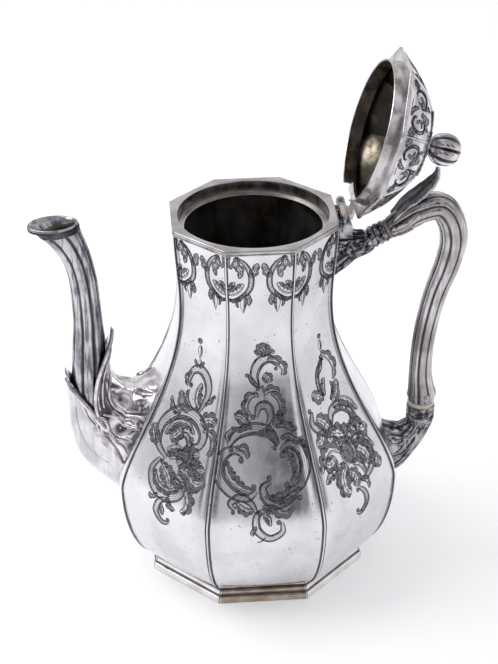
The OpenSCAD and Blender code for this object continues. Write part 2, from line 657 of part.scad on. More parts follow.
// Bracket on the body with the two outer knuckles
module hinge_bracket() color("#aeacb4") difference() {
    inner = centre_knuckle / 2 + knuckle_gap / 2;
    wall_x = rim_r * FLAT + rim_band_t + 6 * TOUCH;
    union() {
        for (s = [-1, 1]) {
            y0 = s > 0 ? inner : -hinge_l / 2;
            y1 = s > 0 ? hinge_l / 2 : -inner;
            knuckle(y0, y1);
            translate([hinge_x - knuckle_r, y0, hinge_z - 2 * knuckle_r])
                cube([2 * knuckle_r, y1 - y0, 2 * knuckle_r]);
        }
        translate([wall_x, -hinge_l / 2, hinge_z - 2 * knuckle_r - shelf_h])
            cube([hinge_x + knuckle_r - wall_x, hinge_l, shelf_h + knuckle_r - 2 * knuckle_gap]);
    }
    hinge_bore();
    translate([hinge_x, hinge_l, hinge_z]) rotate([90, 0, 0])
        intersection() {
            cylinder(r = knuckle_r + knuckle_gap, h = 2 * hinge_l);
            translate([-10, -10, hinge_l - inner]) cube([20, 20, 2 * inner]);
        }
}

module hinge_pin() color("#c9c7cf") translate([hinge_x, hinge_l / 2, hinge_z]) rotate([90, 0, 0])
    cylinder(d = hinge_pin_d, h = hinge_l);

// ---- lid, drawn closed and then turned open about the hinge line ------------------------------

module opened()
    translate([hinge_x, 0, hinge_z])
        rotate([0, lid_open, 0])
            translate([-hinge_x, 0, -hinge_z]) children();

lid_flat = lid_r * FLAT;

// Strap with the middle knuckle, which hangs from the strap by a short web
module lid_hinge_strap() color("#b5b3bb") opened() difference() {
    half = centre_knuckle / 2 - knuckle_gap / 2;
    root = lid_flat - 0.5;
    strap_z = lid_z + lid_gap;
    web = strap_t / 2;
    union() {
        knuckle(-half, half);
        translate([root, -half, strap_z]) cube([hinge_x + web - root, 2 * half, strap_t]);
        translate([hinge_x - knuckle_r, -half, hinge_z])
            cube([knuckle_r + web, 2 * half, strap_z + strap_t - hinge_z]);
    }
    hinge_bore();
}

// Upright band round the edge of the lid, with the flat ledge under it
module lid_edge_band() color("#c6c4cc") opened() difference() {
    translate([0, 0, lid_z]) rotate([0, 0, CORNER]) cylinder(r = lid_r, h = lid_edge_h, $fn = SIDES);
    translate([0, 0, lid_z - 1]) cylinder(r = bezel_r, h = lid_edge_h + 2);
    hinge_relief();
}

module hinge_relief() translate([lid_flat - 0.6, -centre_knuckle / 2, lid_z - 1])
    cube([20, centre_knuckle, lid_edge_h + 2]);

// Rise of the dome as a share of its height, against its share of the edge radius
dome_profile = [[1, 0], [0.955, 0.1], [0.885, 0.26], [0.79, 0.46], [0.66, 0.655], [0.5, 0.815],
    [0.33, 0.92], [0.17, 0.98], [0.06, 1]];
dome_r = lid_r - dome_inset;
dome_bow = 0.9;

module lid_dome() color("#d3d2da") opened() {
    base = lid_z + lid_edge_h + TOUCH;
    rows = [for (i = [0 : 2 * (len(dome_profile) - 1)]) row_at(dome_profile, i / 2)];
    last = len(rows) - 1;
    inner_h = dome_h - dome_wall;
    skin(concat(
        [for (p = rows) ring8(p[0] * dome_r, base + p[1] * dome_h, dome_bow * p[0])],
        [for (i = [last : -1 : 0])
            let (p = rows[i], r = p[0] * dome_r - dome_wall / FLAT * (1 - 0.3 * p[1]))
            ring8(max(0.055 * dome_r, r), base + p[1] * inner_h, dome_bow * p[0])]
    ), loop = true);
}

// Round locating flange, cut away at the hinge
module lid_flange() color("#a89f99") opened() difference() {
    height = lid_z + lid_edge_h - bezel_low;
    translate([0, 0, bezel_low]) cylinder(r = bezel_r - TOUCH, h = height);
    translate([0, 0, bezel_low - 1]) cylinder(r = bezel_r - bezel_wall, h = height + 2);
    translate([bezel_r / 2, -bezel_cut, bezel_low - 1])
        cube([bezel_r, 2 * bezel_cut, lid_z - bezel_low + 1 - lid_gap]);
}

// ---- finial -----------------------------------------------------------------------------------

stud_bore_r = stud_d / 2 + pin_gap;
bud_z = dome_top + rosette_t + bud_stem;

// Height of the dome's skin above a point at a radius and an angle
dome_table = [for (i = [len(dome_profile) - 1 : -1 : 0]) dome_profile[i]];
function off_panel(a) = let (m = (a + CORNER) % (2 * CORNER)) (m < 0 ? m + 2 * CORNER : m) - CORNER;
function dome_z(r, a) =
    lid_z + lid_edge_h + dome_h * lookup(r * cos(off_panel(a)) / FLAT / dome_r, dome_table);

module finial_rosette() color("#b0aeb6") opened() difference() {
    skin(concat(
        [for (f = [0.14, 0.4, 0.7, 1]) rosette_ring(f, 0)],
        [for (f = [1, 0.7, 0.4, 0.14]) rosette_ring(f, -rosette_t * (1.15 - 0.65 * f))]
    ), loop = true);
    translate([0, 0, dome_top - 10]) cylinder(r = stud_bore_r, h = 20, $fn = 32);
}

// Ring of the rosette at a share of its radius, raised over the dome and curled up at the tips
function rosette_ring(f, dz) = [for (j = [0 : 47])
    let (a = -7.5 * j, leaf = abs(cos(rosette_leaves * a / 2)),
         r = f * rosette_r * (1 - f * 0.22 * (1 - leaf)))
    [r * cos(a), r * sin(a), dome_z(r, a) + rosette_t + 0.4 + 1.6 * pow(f, 6) * leaf + dz]];

module finial_bud() color("#c2c0c8") opened() difference() {
    profile = [[0.3, 0], [0.36, 0.03], [0.62, 0.12], [0.9, 0.3], [1, 0.52], [0.92, 0.74],
        [0.66, 0.91], [0.34, 0.985], [0.08, 1]];
    rows = [for (i = [0 : 2 * (len(profile) - 1)]) row_at(profile, i / 2)];
    skin([for (p = rows) [for (j = [0 : 47])
        let (a = 7.5 * j, groove = pow(abs(sin(bud_lobes * a / 2)), 3),
             r = p[0] * bud_r * (1 - 0.13 * groove * p[0]))
        [r * cos(a), r * sin(a), bud_z + p[1] * bud_h]]]);
    translate([0, 0, bud_z - 1]) cylinder(r = stud_bore_r, h = 7, $fn = 32);
}

stud_low = dome_top - dome_wall - 4;
module finial_stud() color("#8f8c90") opened()
    translate([0, 0, stud_low]) cylinder(d = stud_d, h = bud_z + 6 - stud_low, $fn = 32);

module finial_nut() color("#8f8c90") opened() difference() {
    translate([0, 0, stud_low + 0.6]) cylinder(r = stud_d * 1.05, h = 3, $fn = 6);
    translate([0, 0, stud_low - 1]) cylinder(r = stud_bore_r, h = 6, $fn = 32);
}

body_shell();
base_plate();
foot_ring();
rim_moulding();
lid_seat_collar();
spout_tube();
spout_lip();
spout_sheath();
upper_socket();
upper_ferrule();
upper_washer();
upper_tenon();
handle_grip();
handle_leaf();
lower_washer();
lower_ferrule();
lower_tenon();
lower_socket();
tenon_pins();
hinge_bracket();
hinge_pin();
lid_hinge_strap();
lid_dome();
lid_edge_band();
lid_flange();
finial_rosette();
finial_bud();
finial_stud();
finial_nut();
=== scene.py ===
"""Dresses the eight-sided coffee pot: formed silver skins, cast scrollwork, engraving and finishes.

Every form is drawn in millimetres in the part's own frame and turned into metres when its mesh is made.
"""

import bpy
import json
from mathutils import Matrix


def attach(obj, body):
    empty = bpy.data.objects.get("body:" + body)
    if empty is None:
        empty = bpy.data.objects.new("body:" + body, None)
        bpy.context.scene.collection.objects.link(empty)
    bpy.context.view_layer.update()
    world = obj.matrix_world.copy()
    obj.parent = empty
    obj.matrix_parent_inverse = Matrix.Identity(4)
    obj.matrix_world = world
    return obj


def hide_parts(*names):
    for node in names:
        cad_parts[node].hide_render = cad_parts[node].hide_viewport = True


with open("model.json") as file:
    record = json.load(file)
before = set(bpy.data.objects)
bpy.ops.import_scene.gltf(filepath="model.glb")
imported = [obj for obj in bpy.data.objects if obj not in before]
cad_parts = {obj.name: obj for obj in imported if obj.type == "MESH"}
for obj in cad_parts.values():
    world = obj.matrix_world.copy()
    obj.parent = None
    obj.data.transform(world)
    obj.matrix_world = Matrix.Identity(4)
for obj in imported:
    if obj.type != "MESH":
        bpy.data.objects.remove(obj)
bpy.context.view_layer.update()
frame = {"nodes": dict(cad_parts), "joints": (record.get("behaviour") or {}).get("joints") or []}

import json
import logging
from collections.abc import Callable, Sequence
from dataclasses import dataclass, field
from enum import Enum
from math import asin, copysign, cos, degrees, exp, floor, hypot, pi, radians, sin, sqrt, tau

import bmesh
import bpy
import numpy as np
from mathutils import Matrix, Vector, noise

log = logging.getLogger("coffee_pot")

MM = 0.001
SIDES = 8
CORNER = pi / SIDES
FLAT = cos(CORNER)
HALF_SIDE = sin(CORNER)
SIDE_POINTS = 7
ROUND_POINTS = 128
HEADING_STEP = 0.02

Colour = tuple[float, float, float]
Flat = tuple[float, float]
Surface = Callable[[float, float], Vector]
Mapping = Callable[[float, float, float], Vector]
Ring = list[Vector]


class Body(Enum):
    """Bodies of the part that a piece can ride on."""

    POT = "pot"
    LID = "lid"


class Slot(Enum):
    """Material slots of the part's record."""

    POLISHED = "polished_silver"
    CAST = "cast_silver"
    WORN = "worn_silver"
    INSULATOR = "insulator"
    HARDWARE = "nickel_hardware"


# ---- shader toolkit ----


class Wire:
    """Output of a shader node, with the operators that shader maths needs."""

    def __init__(self, tree: "Tree", socket: bpy.types.NodeSocket | None) -> None:
        """Wraps a socket that belongs to a tree."""
        self.tree = tree
        self.socket = socket

    def _math(self, operation: str, first: "float | Wire", second: "float | Wire") -> "Wire":
        """Adds one Math node to the tree."""
        return self.tree.node("Math", {"operation": operation}, {0: first, 1: second})

    def __add__(self, other: "float | Wire") -> "Wire":
        """Sum of two values."""
        return self._math("ADD", self, other)

    def __radd__(self, other: float) -> "Wire":
        """Sum with the number first."""
        return self._math("ADD", other, self)

    def __sub__(self, other: "float | Wire") -> "Wire":
        """Difference of two values."""
        return self._math("SUBTRACT", self, other)

    def __rsub__(self, other: float) -> "Wire":
        """Difference with the number first."""
        return self._math("SUBTRACT", other, self)

    def __mul__(self, other: "float | Wire") -> "Wire":
        """Product of two values."""
        return self._math("MULTIPLY", self, other)

    def __rmul__(self, other: float) -> "Wire":
        """Product with the number first."""
        return self._math("MULTIPLY", other, self)

    def __truediv__(self, other: "float | Wire") -> "Wire":
        """Quotient of two values."""
        return self._math("DIVIDE", self, other)

    def __pow__(self, other: float) -> "Wire":
        """Power of a value."""
        return self._math("POWER", self, other)

    def ramp(self, low: float, high: float) -> "Wire":
        """Smooth step of a value.

        Args:
            low: value that gives 0.
            high: value that gives 1; it may be the smaller one.

        Returns:
            The share between them.
        """
        settings = {"interpolation_type": "SMOOTHSTEP"}
        if low > high:
            return 1.0 - self.ramp(high, low)
        return self.tree.node("MapRange", settings, {"Value": self, "From Min": low, "From Max": high})

    def most(self, other: "float | Wire") -> "Wire":
        """Larger of two values."""
        return self._math("MAXIMUM", self, other)


class Tree:
    """Shader tree of a material or of the world while it is being wired."""

    def __init__(self, owner: bpy.types.ID) -> None:
        """Empties the owner's tree.

        Args:
            owner: a material or a world.
        """
        owner.use_nodes = True
        self.nodes = owner.node_tree.nodes
        self.links = owner.node_tree.links
        self.nodes.clear()

    def node(
        self,
        kind: str,
        settings: dict[str, object] | None = None,
        inputs: dict[str | int, object] | None = None,
        output: str | int = 0,
    ) -> Wire:
        """Adds a node.

        Args:
            kind: the node's type without its ShaderNode prefix.
            settings: attributes of the node, which are set before its sockets.
            inputs: values or wires by socket name or number.
            output: the socket that is returned.

        Returns:
            The chosen output as a wire.
        """
        made = self.nodes.new("ShaderNode" + kind)
        for key, value in (settings or {}).items():
            setattr(made, key, value)
        for key, value in (inputs or {}).items():
            if isinstance(value, Wire):
                self.links.new(value.socket, made.inputs[key])
            elif isinstance(value, tuple) and made.inputs[key].type == "RGBA":
                made.inputs[key].default_value = (*value, 1.0)
            else:
                made.inputs[key].default_value = value
        return Wire(self, made.outputs[output] if made.outputs else None)

    def mix(self, share: float | Wire, first: Colour | Wire, second: Colour | Wire) -> Wire:
        """Blends two colours; a share of 1 gives the second."""
        return self.node("Mix", {"data_type": "RGBA"}, {0: share, 6: first, 7: second}, output=2)

    def place(self, stretch: Colour = (1.0, 1.0, 1.0), turn: Colour = (0.0, 0.0, 0.0)) -> Wire:
        """Position on the piece, stretched and turned for a texture."""
        where = self.node("TexCoord", output="Object")
        return self.node("Mapping", {}, {"Vector": where, "Rotation": turn, "Scale": stretch})

    def cloud(self, size: float, detail: float = 3.0, where: Wire | None = None) -> Wire:
        """Soft noise whose blotches are about a size in millimetres across, from 0 to 1."""
        inputs = {"Vector": where or self.place(), "Scale": 1.0 / (size * MM), "Detail": detail}
        return self.node("TexNoise", {}, inputs)


# ---- finishes ----


@dataclass(frozen=True)
class Finish:
    """Base of every finish: a name and a material that is wired once."""

    name: str

    def material(self) -> bpy.types.Material:
        """Material of this finish, made on first use."""
        made = bpy.data.materials.get(self.name)
        if made is None:
            made = bpy.data.materials.new(self.name)
            tree = Tree(made)
            tree.node("OutputMaterial", {}, {"Surface": self.wire(tree)})
        return made

    def wire(self, tree: Tree) -> Wire:
        """Wires the finish.

        Args:
            tree: the material's tree.

        Returns:
            The shader.
        """
        raise NotImplementedError


@dataclass(frozen=True)
class Silver(Finish):
    """Silver with handling wear, tarnish, scratches and pits, grime and painted shade in its hollows, and,
    where set, a painted pool of light.
    """

    colour: Colour = (0.85, 0.84, 0.875)
    shade: Colour = (0.74, 0.72, 0.75)
    tarnish: Colour = (0.46, 0.38, 0.29)
    grime_and_shade: Colour = (0.030, 0.028, 0.032)
    tarnish_share: float = 0.25
    roughness: float = 0.16
    roughness_spread: float = 0.14
    scratch_depth: float = 0.05
    pit_share: float = 0.5
    pit_reach: float = 0.13
    blotch_size: float = 26.0
    wave_depth: float = 0.12
    wave_size: float = 16.0
    hollow_low: float = 0.05
    hollow_high: float = 0.22
    streak: float = 0.0
    streak_size: float = 1.5
    streak_colour: Colour = (0.085, 0.085, 0.10)
    patch: Colour | None = None
    patch_radius: float = 8.0
    patch_colour: Colour = (0.52, 0.44, 0.34)

    def wire(self, tree: Tree) -> Wire:
        """Wires the finish.

        Args:
            tree: the material's tree.

        Returns:
            The shader.
        """
        blotch = tree.cloud(self.blotch_size, 4.0)
        smear = tree.cloud(5.0, 5.0, tree.place((1.0, 1.0, 0.45)))
        colour = tree.mix(blotch.ramp(0.38, 0.68), self.colour, self.shade)
        if self.streak:
            along = tree.place((1.0, 1.0, 0.09))
            bands = tree.cloud(self.streak_size, 3.0, along).ramp(0.47, 0.60)
            bands = bands * tree.cloud(15.0).ramp(0.30, 0.55)
            colour = tree.mix(bands * self.streak, colour, self.streak_colour)
        stain = tree.cloud(9.0, 7.0).ramp(0.55, 0.75) * self.tarnish_share
        colour = tree.mix(stain, colour, self.tarnish)
        # Painted reflection: where set, the patch paints a warm pool of light round its centre.
        if self.patch:
            centre = tuple(MM * part for part in self.patch)
            gap = tree.node("VectorMath", {"operation": "DISTANCE"}, {0: tree.place(), 1: centre}, "Value")
            wear_and_light_pool = gap.ramp(1.3 * self.patch_radius * MM, 0.2 * self.patch_radius * MM)
            colour = tree.mix(wear_and_light_pool * tree.cloud(4.0, 5.0).ramp(0.25, 0.6), colour, self.patch_colour)
        spots = tree.node("TexVoronoi", {}, {"Vector": tree.place(), "Scale": 1.0 / (3.1 * MM)})
        pits = spots.ramp(self.pit_reach, 0.3 * self.pit_reach)
        pits = pits * tree.cloud(11.0).ramp(0.5, 0.62) * self.pit_share
        colour = tree.mix(pits * 0.75, colour, self.grime_and_shade)
        # Patina and painted shade: the hollow mark darkens concave places and the spots that each piece marks.
        hollow = tree.node("Attribute", {"attribute_name": "hollow"}, {}, "Fac")
        dirt_and_shade = hollow.ramp(self.hollow_low, self.hollow_high) * (0.7 + 0.3 * smear)
        colour = tree.mix(dirt_and_shade, colour, self.grime_and_shade)
        rough = self.roughness + self.roughness_spread * smear.ramp(0.3, 0.75) + 0.35 * dirt_and_shade
        hair = tree.cloud(0.5, 2.0, tree.place((1.0, 1.0, 0.05), (0.3, 0.9, 0.2)))
        cross = tree.cloud(0.6, 2.0, tree.place((1.0, 0.06, 1.0), (0.9, 0.2, 0.5)))
        lines = hair.ramp(0.60, 0.68).most(cross.ramp(0.64, 0.70))
        height = 0.004 * self.scratch_depth * (0.0 - lines) - 0.02 * pits
        wave = tree.cloud(self.wave_size, 1.0) * self.wave_depth + height
        normal = tree.node("Bump", {}, {"Strength": 1.0, "Distance": MM, "Height": wave})
        inputs = {"Base Color": colour, "Metallic": 1.0, "Roughness": rough, "Normal": normal}
        return tree.node("BsdfPrincipled", {}, inputs)


@dataclass(frozen=True)
class Cut(Finish):
    """Engraved line, filled with old polish and black deposit."""

    dark: Colour = (0.020, 0.020, 0.024)
    wear_and_light_pool: Colour = (0.16, 0.155, 0.17)

    def wire(self, tree: Tree) -> Wire:
        """Wires the finish.

        Args:
            tree: the material's tree.

        Returns:
            The shader.
        """
        colour = tree.mix(tree.cloud(1.4, 5.0).ramp(0.45, 0.75), self.dark, self.wear_and_light_pool)
        rough = 0.42 + 0.2 * tree.cloud(0.8)
        return tree.node("BsdfPrincipled", {}, {"Base Color": colour, "Metallic": 0.8, "Roughness": rough})


@dataclass(frozen=True)
class Hatching(Finish):
    """Silver shaded with fine parallel engraver's cuts."""

    line: Colour = (0.040, 0.040, 0.047)
    ground: Colour = (0.37, 0.365, 0.39)
    pitch: float = 0.62

    def wire(self, tree: Tree) -> Wire:
        """Wires the finish.

        Args:
            tree: the material's tree.

        Returns:
            The shader.
        """
        turned = tree.place((1.0, 1.0, 1.0), (0.0, 0.6, 0.7))
        inputs = {"Vector": turned, "Scale": 0.31 / (self.pitch * MM), "Distortion": 1.6, "Detail": 2.0}
        cuts = tree.node("TexWave", {"wave_type": "BANDS", "bands_direction": "Z"}, inputs, 1)
        depth = cuts.ramp(0.62, 0.30).most(tree.cloud(1.6, 5.0).ramp(0.52, 0.64))
        colour = tree.mix(depth, self.ground, self.line)
        rough = 0.3 + 0.25 * depth
        return tree.node("BsdfPrincipled", {}, {"Base Color": colour, "Metallic": 0.9, "Roughness": rough})


@dataclass(frozen=True)
class Bone(Finish):
    """Turned bone with fine growth lines."""

    pale: Colour = (0.74, 0.70, 0.61)
    aged: Colour = (0.50, 0.43, 0.33)

    def wire(self, tree: Tree) -> Wire:
        """Wires the finish.

        Args:
            tree: the material's tree.

        Returns:
            The shader.
        """
        grain = tree.cloud(1.2, 6.0, tree.place((1.0, 1.0, 4.0)))
        colour = tree.mix(grain.ramp(0.45, 0.7), self.pale, self.aged)
        rough = 0.3 + 0.2 * grain
        normal = tree.node("Bump", {}, {"Strength": 0.4, "Distance": 0.1 * MM, "Height": grain})
        inputs = {"Base Color": colour, "Roughness": rough, "Normal": normal}
        return tree.node("BsdfPrincipled", {}, inputs)


@dataclass(frozen=True)
class Floor(Finish):
    """Pale studio table that keeps the pot's shadow and shows white to the camera."""

    colour: Colour = (0.86, 0.86, 0.865)
    lift: float = 0.30

    def wire(self, tree: Tree) -> Wire:
        """Wires the finish.

        Args:
            tree: the material's tree.

        Returns:
            The shader.
        """
        grain = tree.cloud(900.0).ramp(0.2, 0.8)
        colour = tree.mix(grain * 0.02, self.colour, (0.8, 0.8, 0.8))
        matt = tree.node("BsdfPrincipled", {}, {"Base Color": colour, "Roughness": 0.9})
        glow = tree.node("Emission", {}, {"Color": (1.0, 1.0, 1.0), "Strength": self.lift})
        lit = tree.node("AddShader", {}, {0: matt, 1: glow})
        seen = tree.node("LightPath", {}, {}, "Is Camera Ray")
        seen = seen.most(tree.node("LightPath", {}, {}, "Is Glossy Ray"))
        return tree.node("MixShader", {}, {0: seen, 1: matt, 2: lit})


GRIP = Silver(
    "silver_grip", colour=(0.62, 0.60, 0.61), shade=(0.34, 0.32, 0.32), streak=0.3, roughness=0.14,
    roughness_spread=0.2, tarnish_share=0.5, pit_share=1.0, blotch_size=16.0, wave_depth=0.25, wave_size=6.0,
    hollow_low=0.02, hollow_high=0.16,
)
LIP = Silver(
    "silver_lip", colour=(0.42, 0.41, 0.44), shade=(0.13, 0.13, 0.14), roughness=0.16, roughness_spread=0.2,
    blotch_size=5.0, wave_depth=0.3, wave_size=5.0, hollow_low=0.0, hollow_high=0.12,
)
CALYX_FRONT = Silver(
    "silver_calyx_front", colour=(0.74, 0.73, 0.76), shade=(0.56, 0.545, 0.56), streak=0.14, streak_size=2.4,
    roughness=0.12, roughness_spread=0.12, blotch_size=14.0, wave_depth=0.2, wave_size=9.0, hollow_low=0.02,
    hollow_high=0.16,
)
PANEL = Silver(
    "silver_panel", colour=(0.765, 0.755, 0.785), shade=(0.65, 0.63, 0.665), roughness=0.17,
    roughness_spread=0.12, wave_depth=0.1, scratch_depth=0.6, pit_share=1.0, pit_reach=0.2,
)
CAST = Silver(
    "silver_cast", colour=(0.60, 0.59, 0.62), shade=(0.26, 0.25, 0.27), streak=0.75, roughness=0.12,
    roughness_spread=0.2, tarnish_share=0.5, pit_share=1.0, blotch_size=13.0, wave_depth=0.3, wave_size=5.0,
    hollow_low=0.02, hollow_high=0.16,
)
CALYX = Silver(
    "silver_calyx", colour=(0.80, 0.78, 0.80), shade=(0.34, 0.32, 0.33), roughness=0.08,
    roughness_spread=0.14, tarnish_share=0.4, blotch_size=6.5, wave_depth=0.5, wave_size=5.0, hollow_low=0.02,
    hollow_high=0.16,
)
# Painted reflection: the near-black colour stands in for dark reflections on the ferrules, neck socket and
# hinge bracket, and its bright blotches are painted glints.
DARK_CAST = Silver(
    "silver_cast_dark", colour=(0.045, 0.045, 0.052), shade=(0.46, 0.45, 0.48), roughness=0.10,
    roughness_spread=0.2, tarnish_share=0.3, blotch_size=3.6, wave_depth=0.6, wave_size=3.4, hollow_low=0.0,
    hollow_high=0.10,
)
ROOT_CAST = Silver(
    "silver_cast_root", colour=(0.50, 0.49, 0.52), shade=(0.10, 0.10, 0.11), roughness=0.10,
    roughness_spread=0.2, tarnish_share=0.4, blotch_size=4.4, wave_depth=0.6, wave_size=3.8, hollow_low=0.0,
    hollow_high=0.10,
)
WORN = Silver(
    "silver_worn", colour=(0.62, 0.58, 0.55), shade=(0.42, 0.37, 0.34), tarnish=(0.30, 0.23, 0.17),
    tarnish_share=0.8, roughness=0.24, roughness_spread=0.2, wave_depth=0.2, wave_size=9.0,
)
INTERIOR = Silver(
    "silver_interior", colour=(0.19, 0.185, 0.165), shade=(0.06, 0.055, 0.05), blotch_size=20.0,
    tarnish=(0.16, 0.11, 0.06), tarnish_share=0.8, roughness=0.42, wave_depth=0.2,
)
NICKEL = Silver(
    "nickel_hardware", colour=(0.34, 0.33, 0.33), shade=(0.12, 0.115, 0.11), blotch_size=5.0, roughness=0.26,
)
FOOT_SILVER = Silver(
    "silver_foot", colour=(0.93, 0.92, 0.92), shade=(0.74, 0.71, 0.69), tarnish_share=0.3, blotch_size=14.0,
    roughness=0.12, roughness_spread=0.14, hollow_low=0.06, hollow_high=0.22,
)
# Painted reflection: darker, warmer colour with gold blotches for the foot's front facet, which faces the
# camera.
FOOT_PAINTED_REFLECTION = Silver(
    "silver_foot_painted_reflection", colour=(0.52, 0.45, 0.36), shade=(0.30, 0.25, 0.20), tarnish=(0.62, 0.50, 0.30),
    tarnish_share=0.7, blotch_size=9.0, roughness=0.14, roughness_spread=0.16, hollow_low=0.04,
    hollow_high=0.2,
)
RIM_TOP = Silver(
    "silver_rim", colour=(0.50, 0.49, 0.50), shade=(0.34, 0.325, 0.325), tarnish_share=0.35, blotch_size=16.0,
    roughness=0.18, roughness_spread=0.14,
)
LEDGE = Silver(
    "silver_ledge", colour=(0.62, 0.60, 0.61), shade=(0.36, 0.34, 0.33), tarnish_share=0.5, blotch_size=8.0,
    roughness=0.16, roughness_spread=0.2, wave_depth=0.25, wave_size=6.0,
)
COLLAR = Silver(
    "silver_collar", colour=(0.50, 0.465, 0.43), shade=(0.34, 0.30, 0.27), tarnish_share=0.8, roughness=0.24,
    roughness_spread=0.2,
)
DOME = Silver(
    "silver_dome", colour=(0.78, 0.77, 0.79), shade=(0.36, 0.35, 0.37), tarnish_share=0.35, blotch_size=9.0,
    roughness=0.14, roughness_spread=0.16, wave_depth=0.3, wave_size=7.0, pit_share=1.0,
)
# Its patch paints a warm pool of reflected light inside the lid.
LID_INSIDE = Silver(
    "silver_lid_inside", colour=(0.045, 0.040, 0.034), shade=(0.02, 0.018, 0.015), tarnish=(0.30, 0.22, 0.13),
    tarnish_share=0.4, blotch_size=14.0, patch=(63.0, 30.5, 228.5), roughness=0.36, wave_depth=0.3,
)
FLANGE = Silver(
    "silver_flange", colour=(0.46, 0.40, 0.36), shade=(0.26, 0.21, 0.18), tarnish_share=0.7, blotch_size=12.0,
    roughness=0.2, roughness_spread=0.2,
)
CUT = Cut("engraved_cut")
HATCHING = Hatching("engraved_hatching")
BONE = Bone("bone")
# Painted shade: a darker copy of the bone, for the washer at the handle's upper joint.
SHADED_BONE = Bone("bone_painted_shade", pale=(0.30, 0.28, 0.26), aged=(0.12, 0.10, 0.09))
FLOOR = Floor("studio_floor")


# ---- forms ----


def polar(radius: float, angle: float, z: float) -> Vector:
    """Point at a radius, an angle in radians and a height."""
    return Vector((radius * cos(angle), radius * sin(angle), z))


def curve_at(rows: Sequence[Sequence[float]], s: float) -> list[float]:
    """Reads a table of rows along the smooth curve through them.

    Args:
        rows: rows of equal length.
        s: fractional row index.

    Returns:
        The row at that index.
    """
    last = len(rows) - 1
    i = max(0, min(floor(s), last - 1))
    t = s - i
    a, b, c, d = rows[max(i - 1, 0)], rows[i], rows[i + 1], rows[min(i + 2, last)]
    return [
        0.5 * (2 * q + (r - p) * t + (2 * p - 5 * q + 4 * r - v) * t * t + (3 * q - p - 3 * r + v) * t ** 3)
        for p, q, r, v in zip(a, b, c, d)
    ]


def spread(count: int) -> list[float]:
    """Evenly spaced shares from 0 to 1."""
    return [i / count for i in range(count + 1)]


def turns(count: int) -> list[float]:
    """Evenly spaced angles of a full turn."""
    return [tau * k / count for k in range(count)]


def heading(rows: Sequence[Sequence[float]], s: float, first: Flat, last: Flat) -> Flat:
    """Unit direction of the centre line that a table starts its rows with.

    Args:
        rows: rows that begin with the centre's two coordinates.
        s: fractional row index.
        first: direction at the first row.
        last: direction at the last row.

    Returns:
        The direction at that index.
    """
    end = float(len(rows) - 1)
    a = curve_at(rows, max(0.0, s - HEADING_STEP))
    c = curve_at(rows, min(end, s + HEADING_STEP))
    way = first if s <= 0 else last if s >= end else (c[0] - a[0], c[1] - a[1])
    size = hypot(*way)
    return way[0] / size, way[1] / size


def seam_marks(seam: Sequence[Flat], width: float, rise: float, half: float, across: int) -> list[Flat]:
    """Lays out the points of one sheet between the seams at its two corners.

    Args:
        seam: distances and heights of a seam from its crown down to the sheet.
        width: size of the distances.
        rise: size of the heights.
        half: half the sheet's width.
        across: number of steps between the seams.

    Returns:
        Distances from the first corner, each with its height.
    """
    edge = [(d * width, h * rise) for d, h in seam[1:]]
    last = edge[-1][0]
    steps = [(last + (2 * half - 2 * last) * t, 0.0) for t in spread(across)[1:-1]]
    return [*edge, *steps, *[(2 * half - d, h) for d, h in reversed(edge)]]


class Skin:
    """Gathers rings and strips of points in millimetres into one mesh."""

    def __init__(self) -> None:
        """Starts an empty skin."""
        self.points: list[Vector] = []
        self.faces: list[tuple[int, ...]] = []
        self.slots: list[int] = []
        self.grime_and_shade: list[float] = []

    def loft(self, rings: Sequence[Ring], loop: bool = False, slot: int | Callable[[int, int], int] = 0,
             grime_and_shade: Callable[[int, int], float] | None = None) -> None:
        """Skins closed rings of equal length.

        Args:
            rings: the rings in order.
            loop: joins the last ring to the first, where both ends would be closed otherwise.
            slot: the finish's number, or a function that gives it from the numbers of a ring and a point.
            grime_and_shade: darkening from the numbers of a ring and a point, on the scale of the hollows;
                grime in some places and painted shade in others.
        """
        start = len(self.points)
        around = len(rings[0])
        for i, ring in enumerate(rings):
            self.points.extend(ring)
            self.grime_and_shade.extend(grime_and_shade(i, j) if grime_and_shade else 0.0 for j in range(around))
        spans = len(rings) if loop else len(rings) - 1
        for i in range(spans):
            near = start + i * around
            far = start + ((i + 1) % len(rings)) * around
            for j in range(around):
                k = (j + 1) % around
                self.faces.append((near + j, near + k, far + k, far + j))
                self.slots.append(slot(i, j) if callable(slot) else slot)
        if not loop:
            end = start + (len(rings) - 1) * around
            self.faces.append(tuple(range(start, start + around)))
            self.faces.append(tuple(range(end, end + around)))
            self.slots.extend([slot(0, 0) if callable(slot) else slot] * 2)

    def make(self, name: str, body: Body, finishes: Sequence[Finish], slot: Slot,
             replaces: Sequence[str] = (), sharp: float = 60.0) -> bpy.types.Object:
        """Builds the mesh, marks its hollows, dresses it and puts it on its body.

        Args:
            name: the piece's name.
            body: the body that the piece rides on.
            finishes: finishes in the order of their numbers.
            slot: the record's slot that the piece belongs to; not used.
            replaces: nodes that the piece stands for.
            sharp: angle in degrees above which an edge stays sharp.

        Returns:
            The finished piece.
        """
        mesh = bpy.data.meshes.new(name)
        mesh.from_pydata([p * MM for p in self.points], [], self.faces)
        for finish in finishes:
            mesh.materials.append(finish.material())
        mesh.polygons.foreach_set("material_index", self.slots)
        form = bmesh.new()
        form.from_mesh(mesh)
        bmesh.ops.recalc_face_normals(form, faces=form.faces)
        form.to_mesh(mesh)
        form.free()
        mesh.shade_smooth()
        mesh.set_sharp_from_angle(angle=radians(sharp))
        mark_hollows(mesh, self.grime_and_shade)
        piece = bpy.data.objects.new(name, mesh)
        bpy.context.scene.collection.objects.link(piece)
        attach(piece, body.value)
        if replaces:
            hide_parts(*replaces)
        log.info("%s: %d faces on %s", name, len(self.faces), body.value)
        return piece


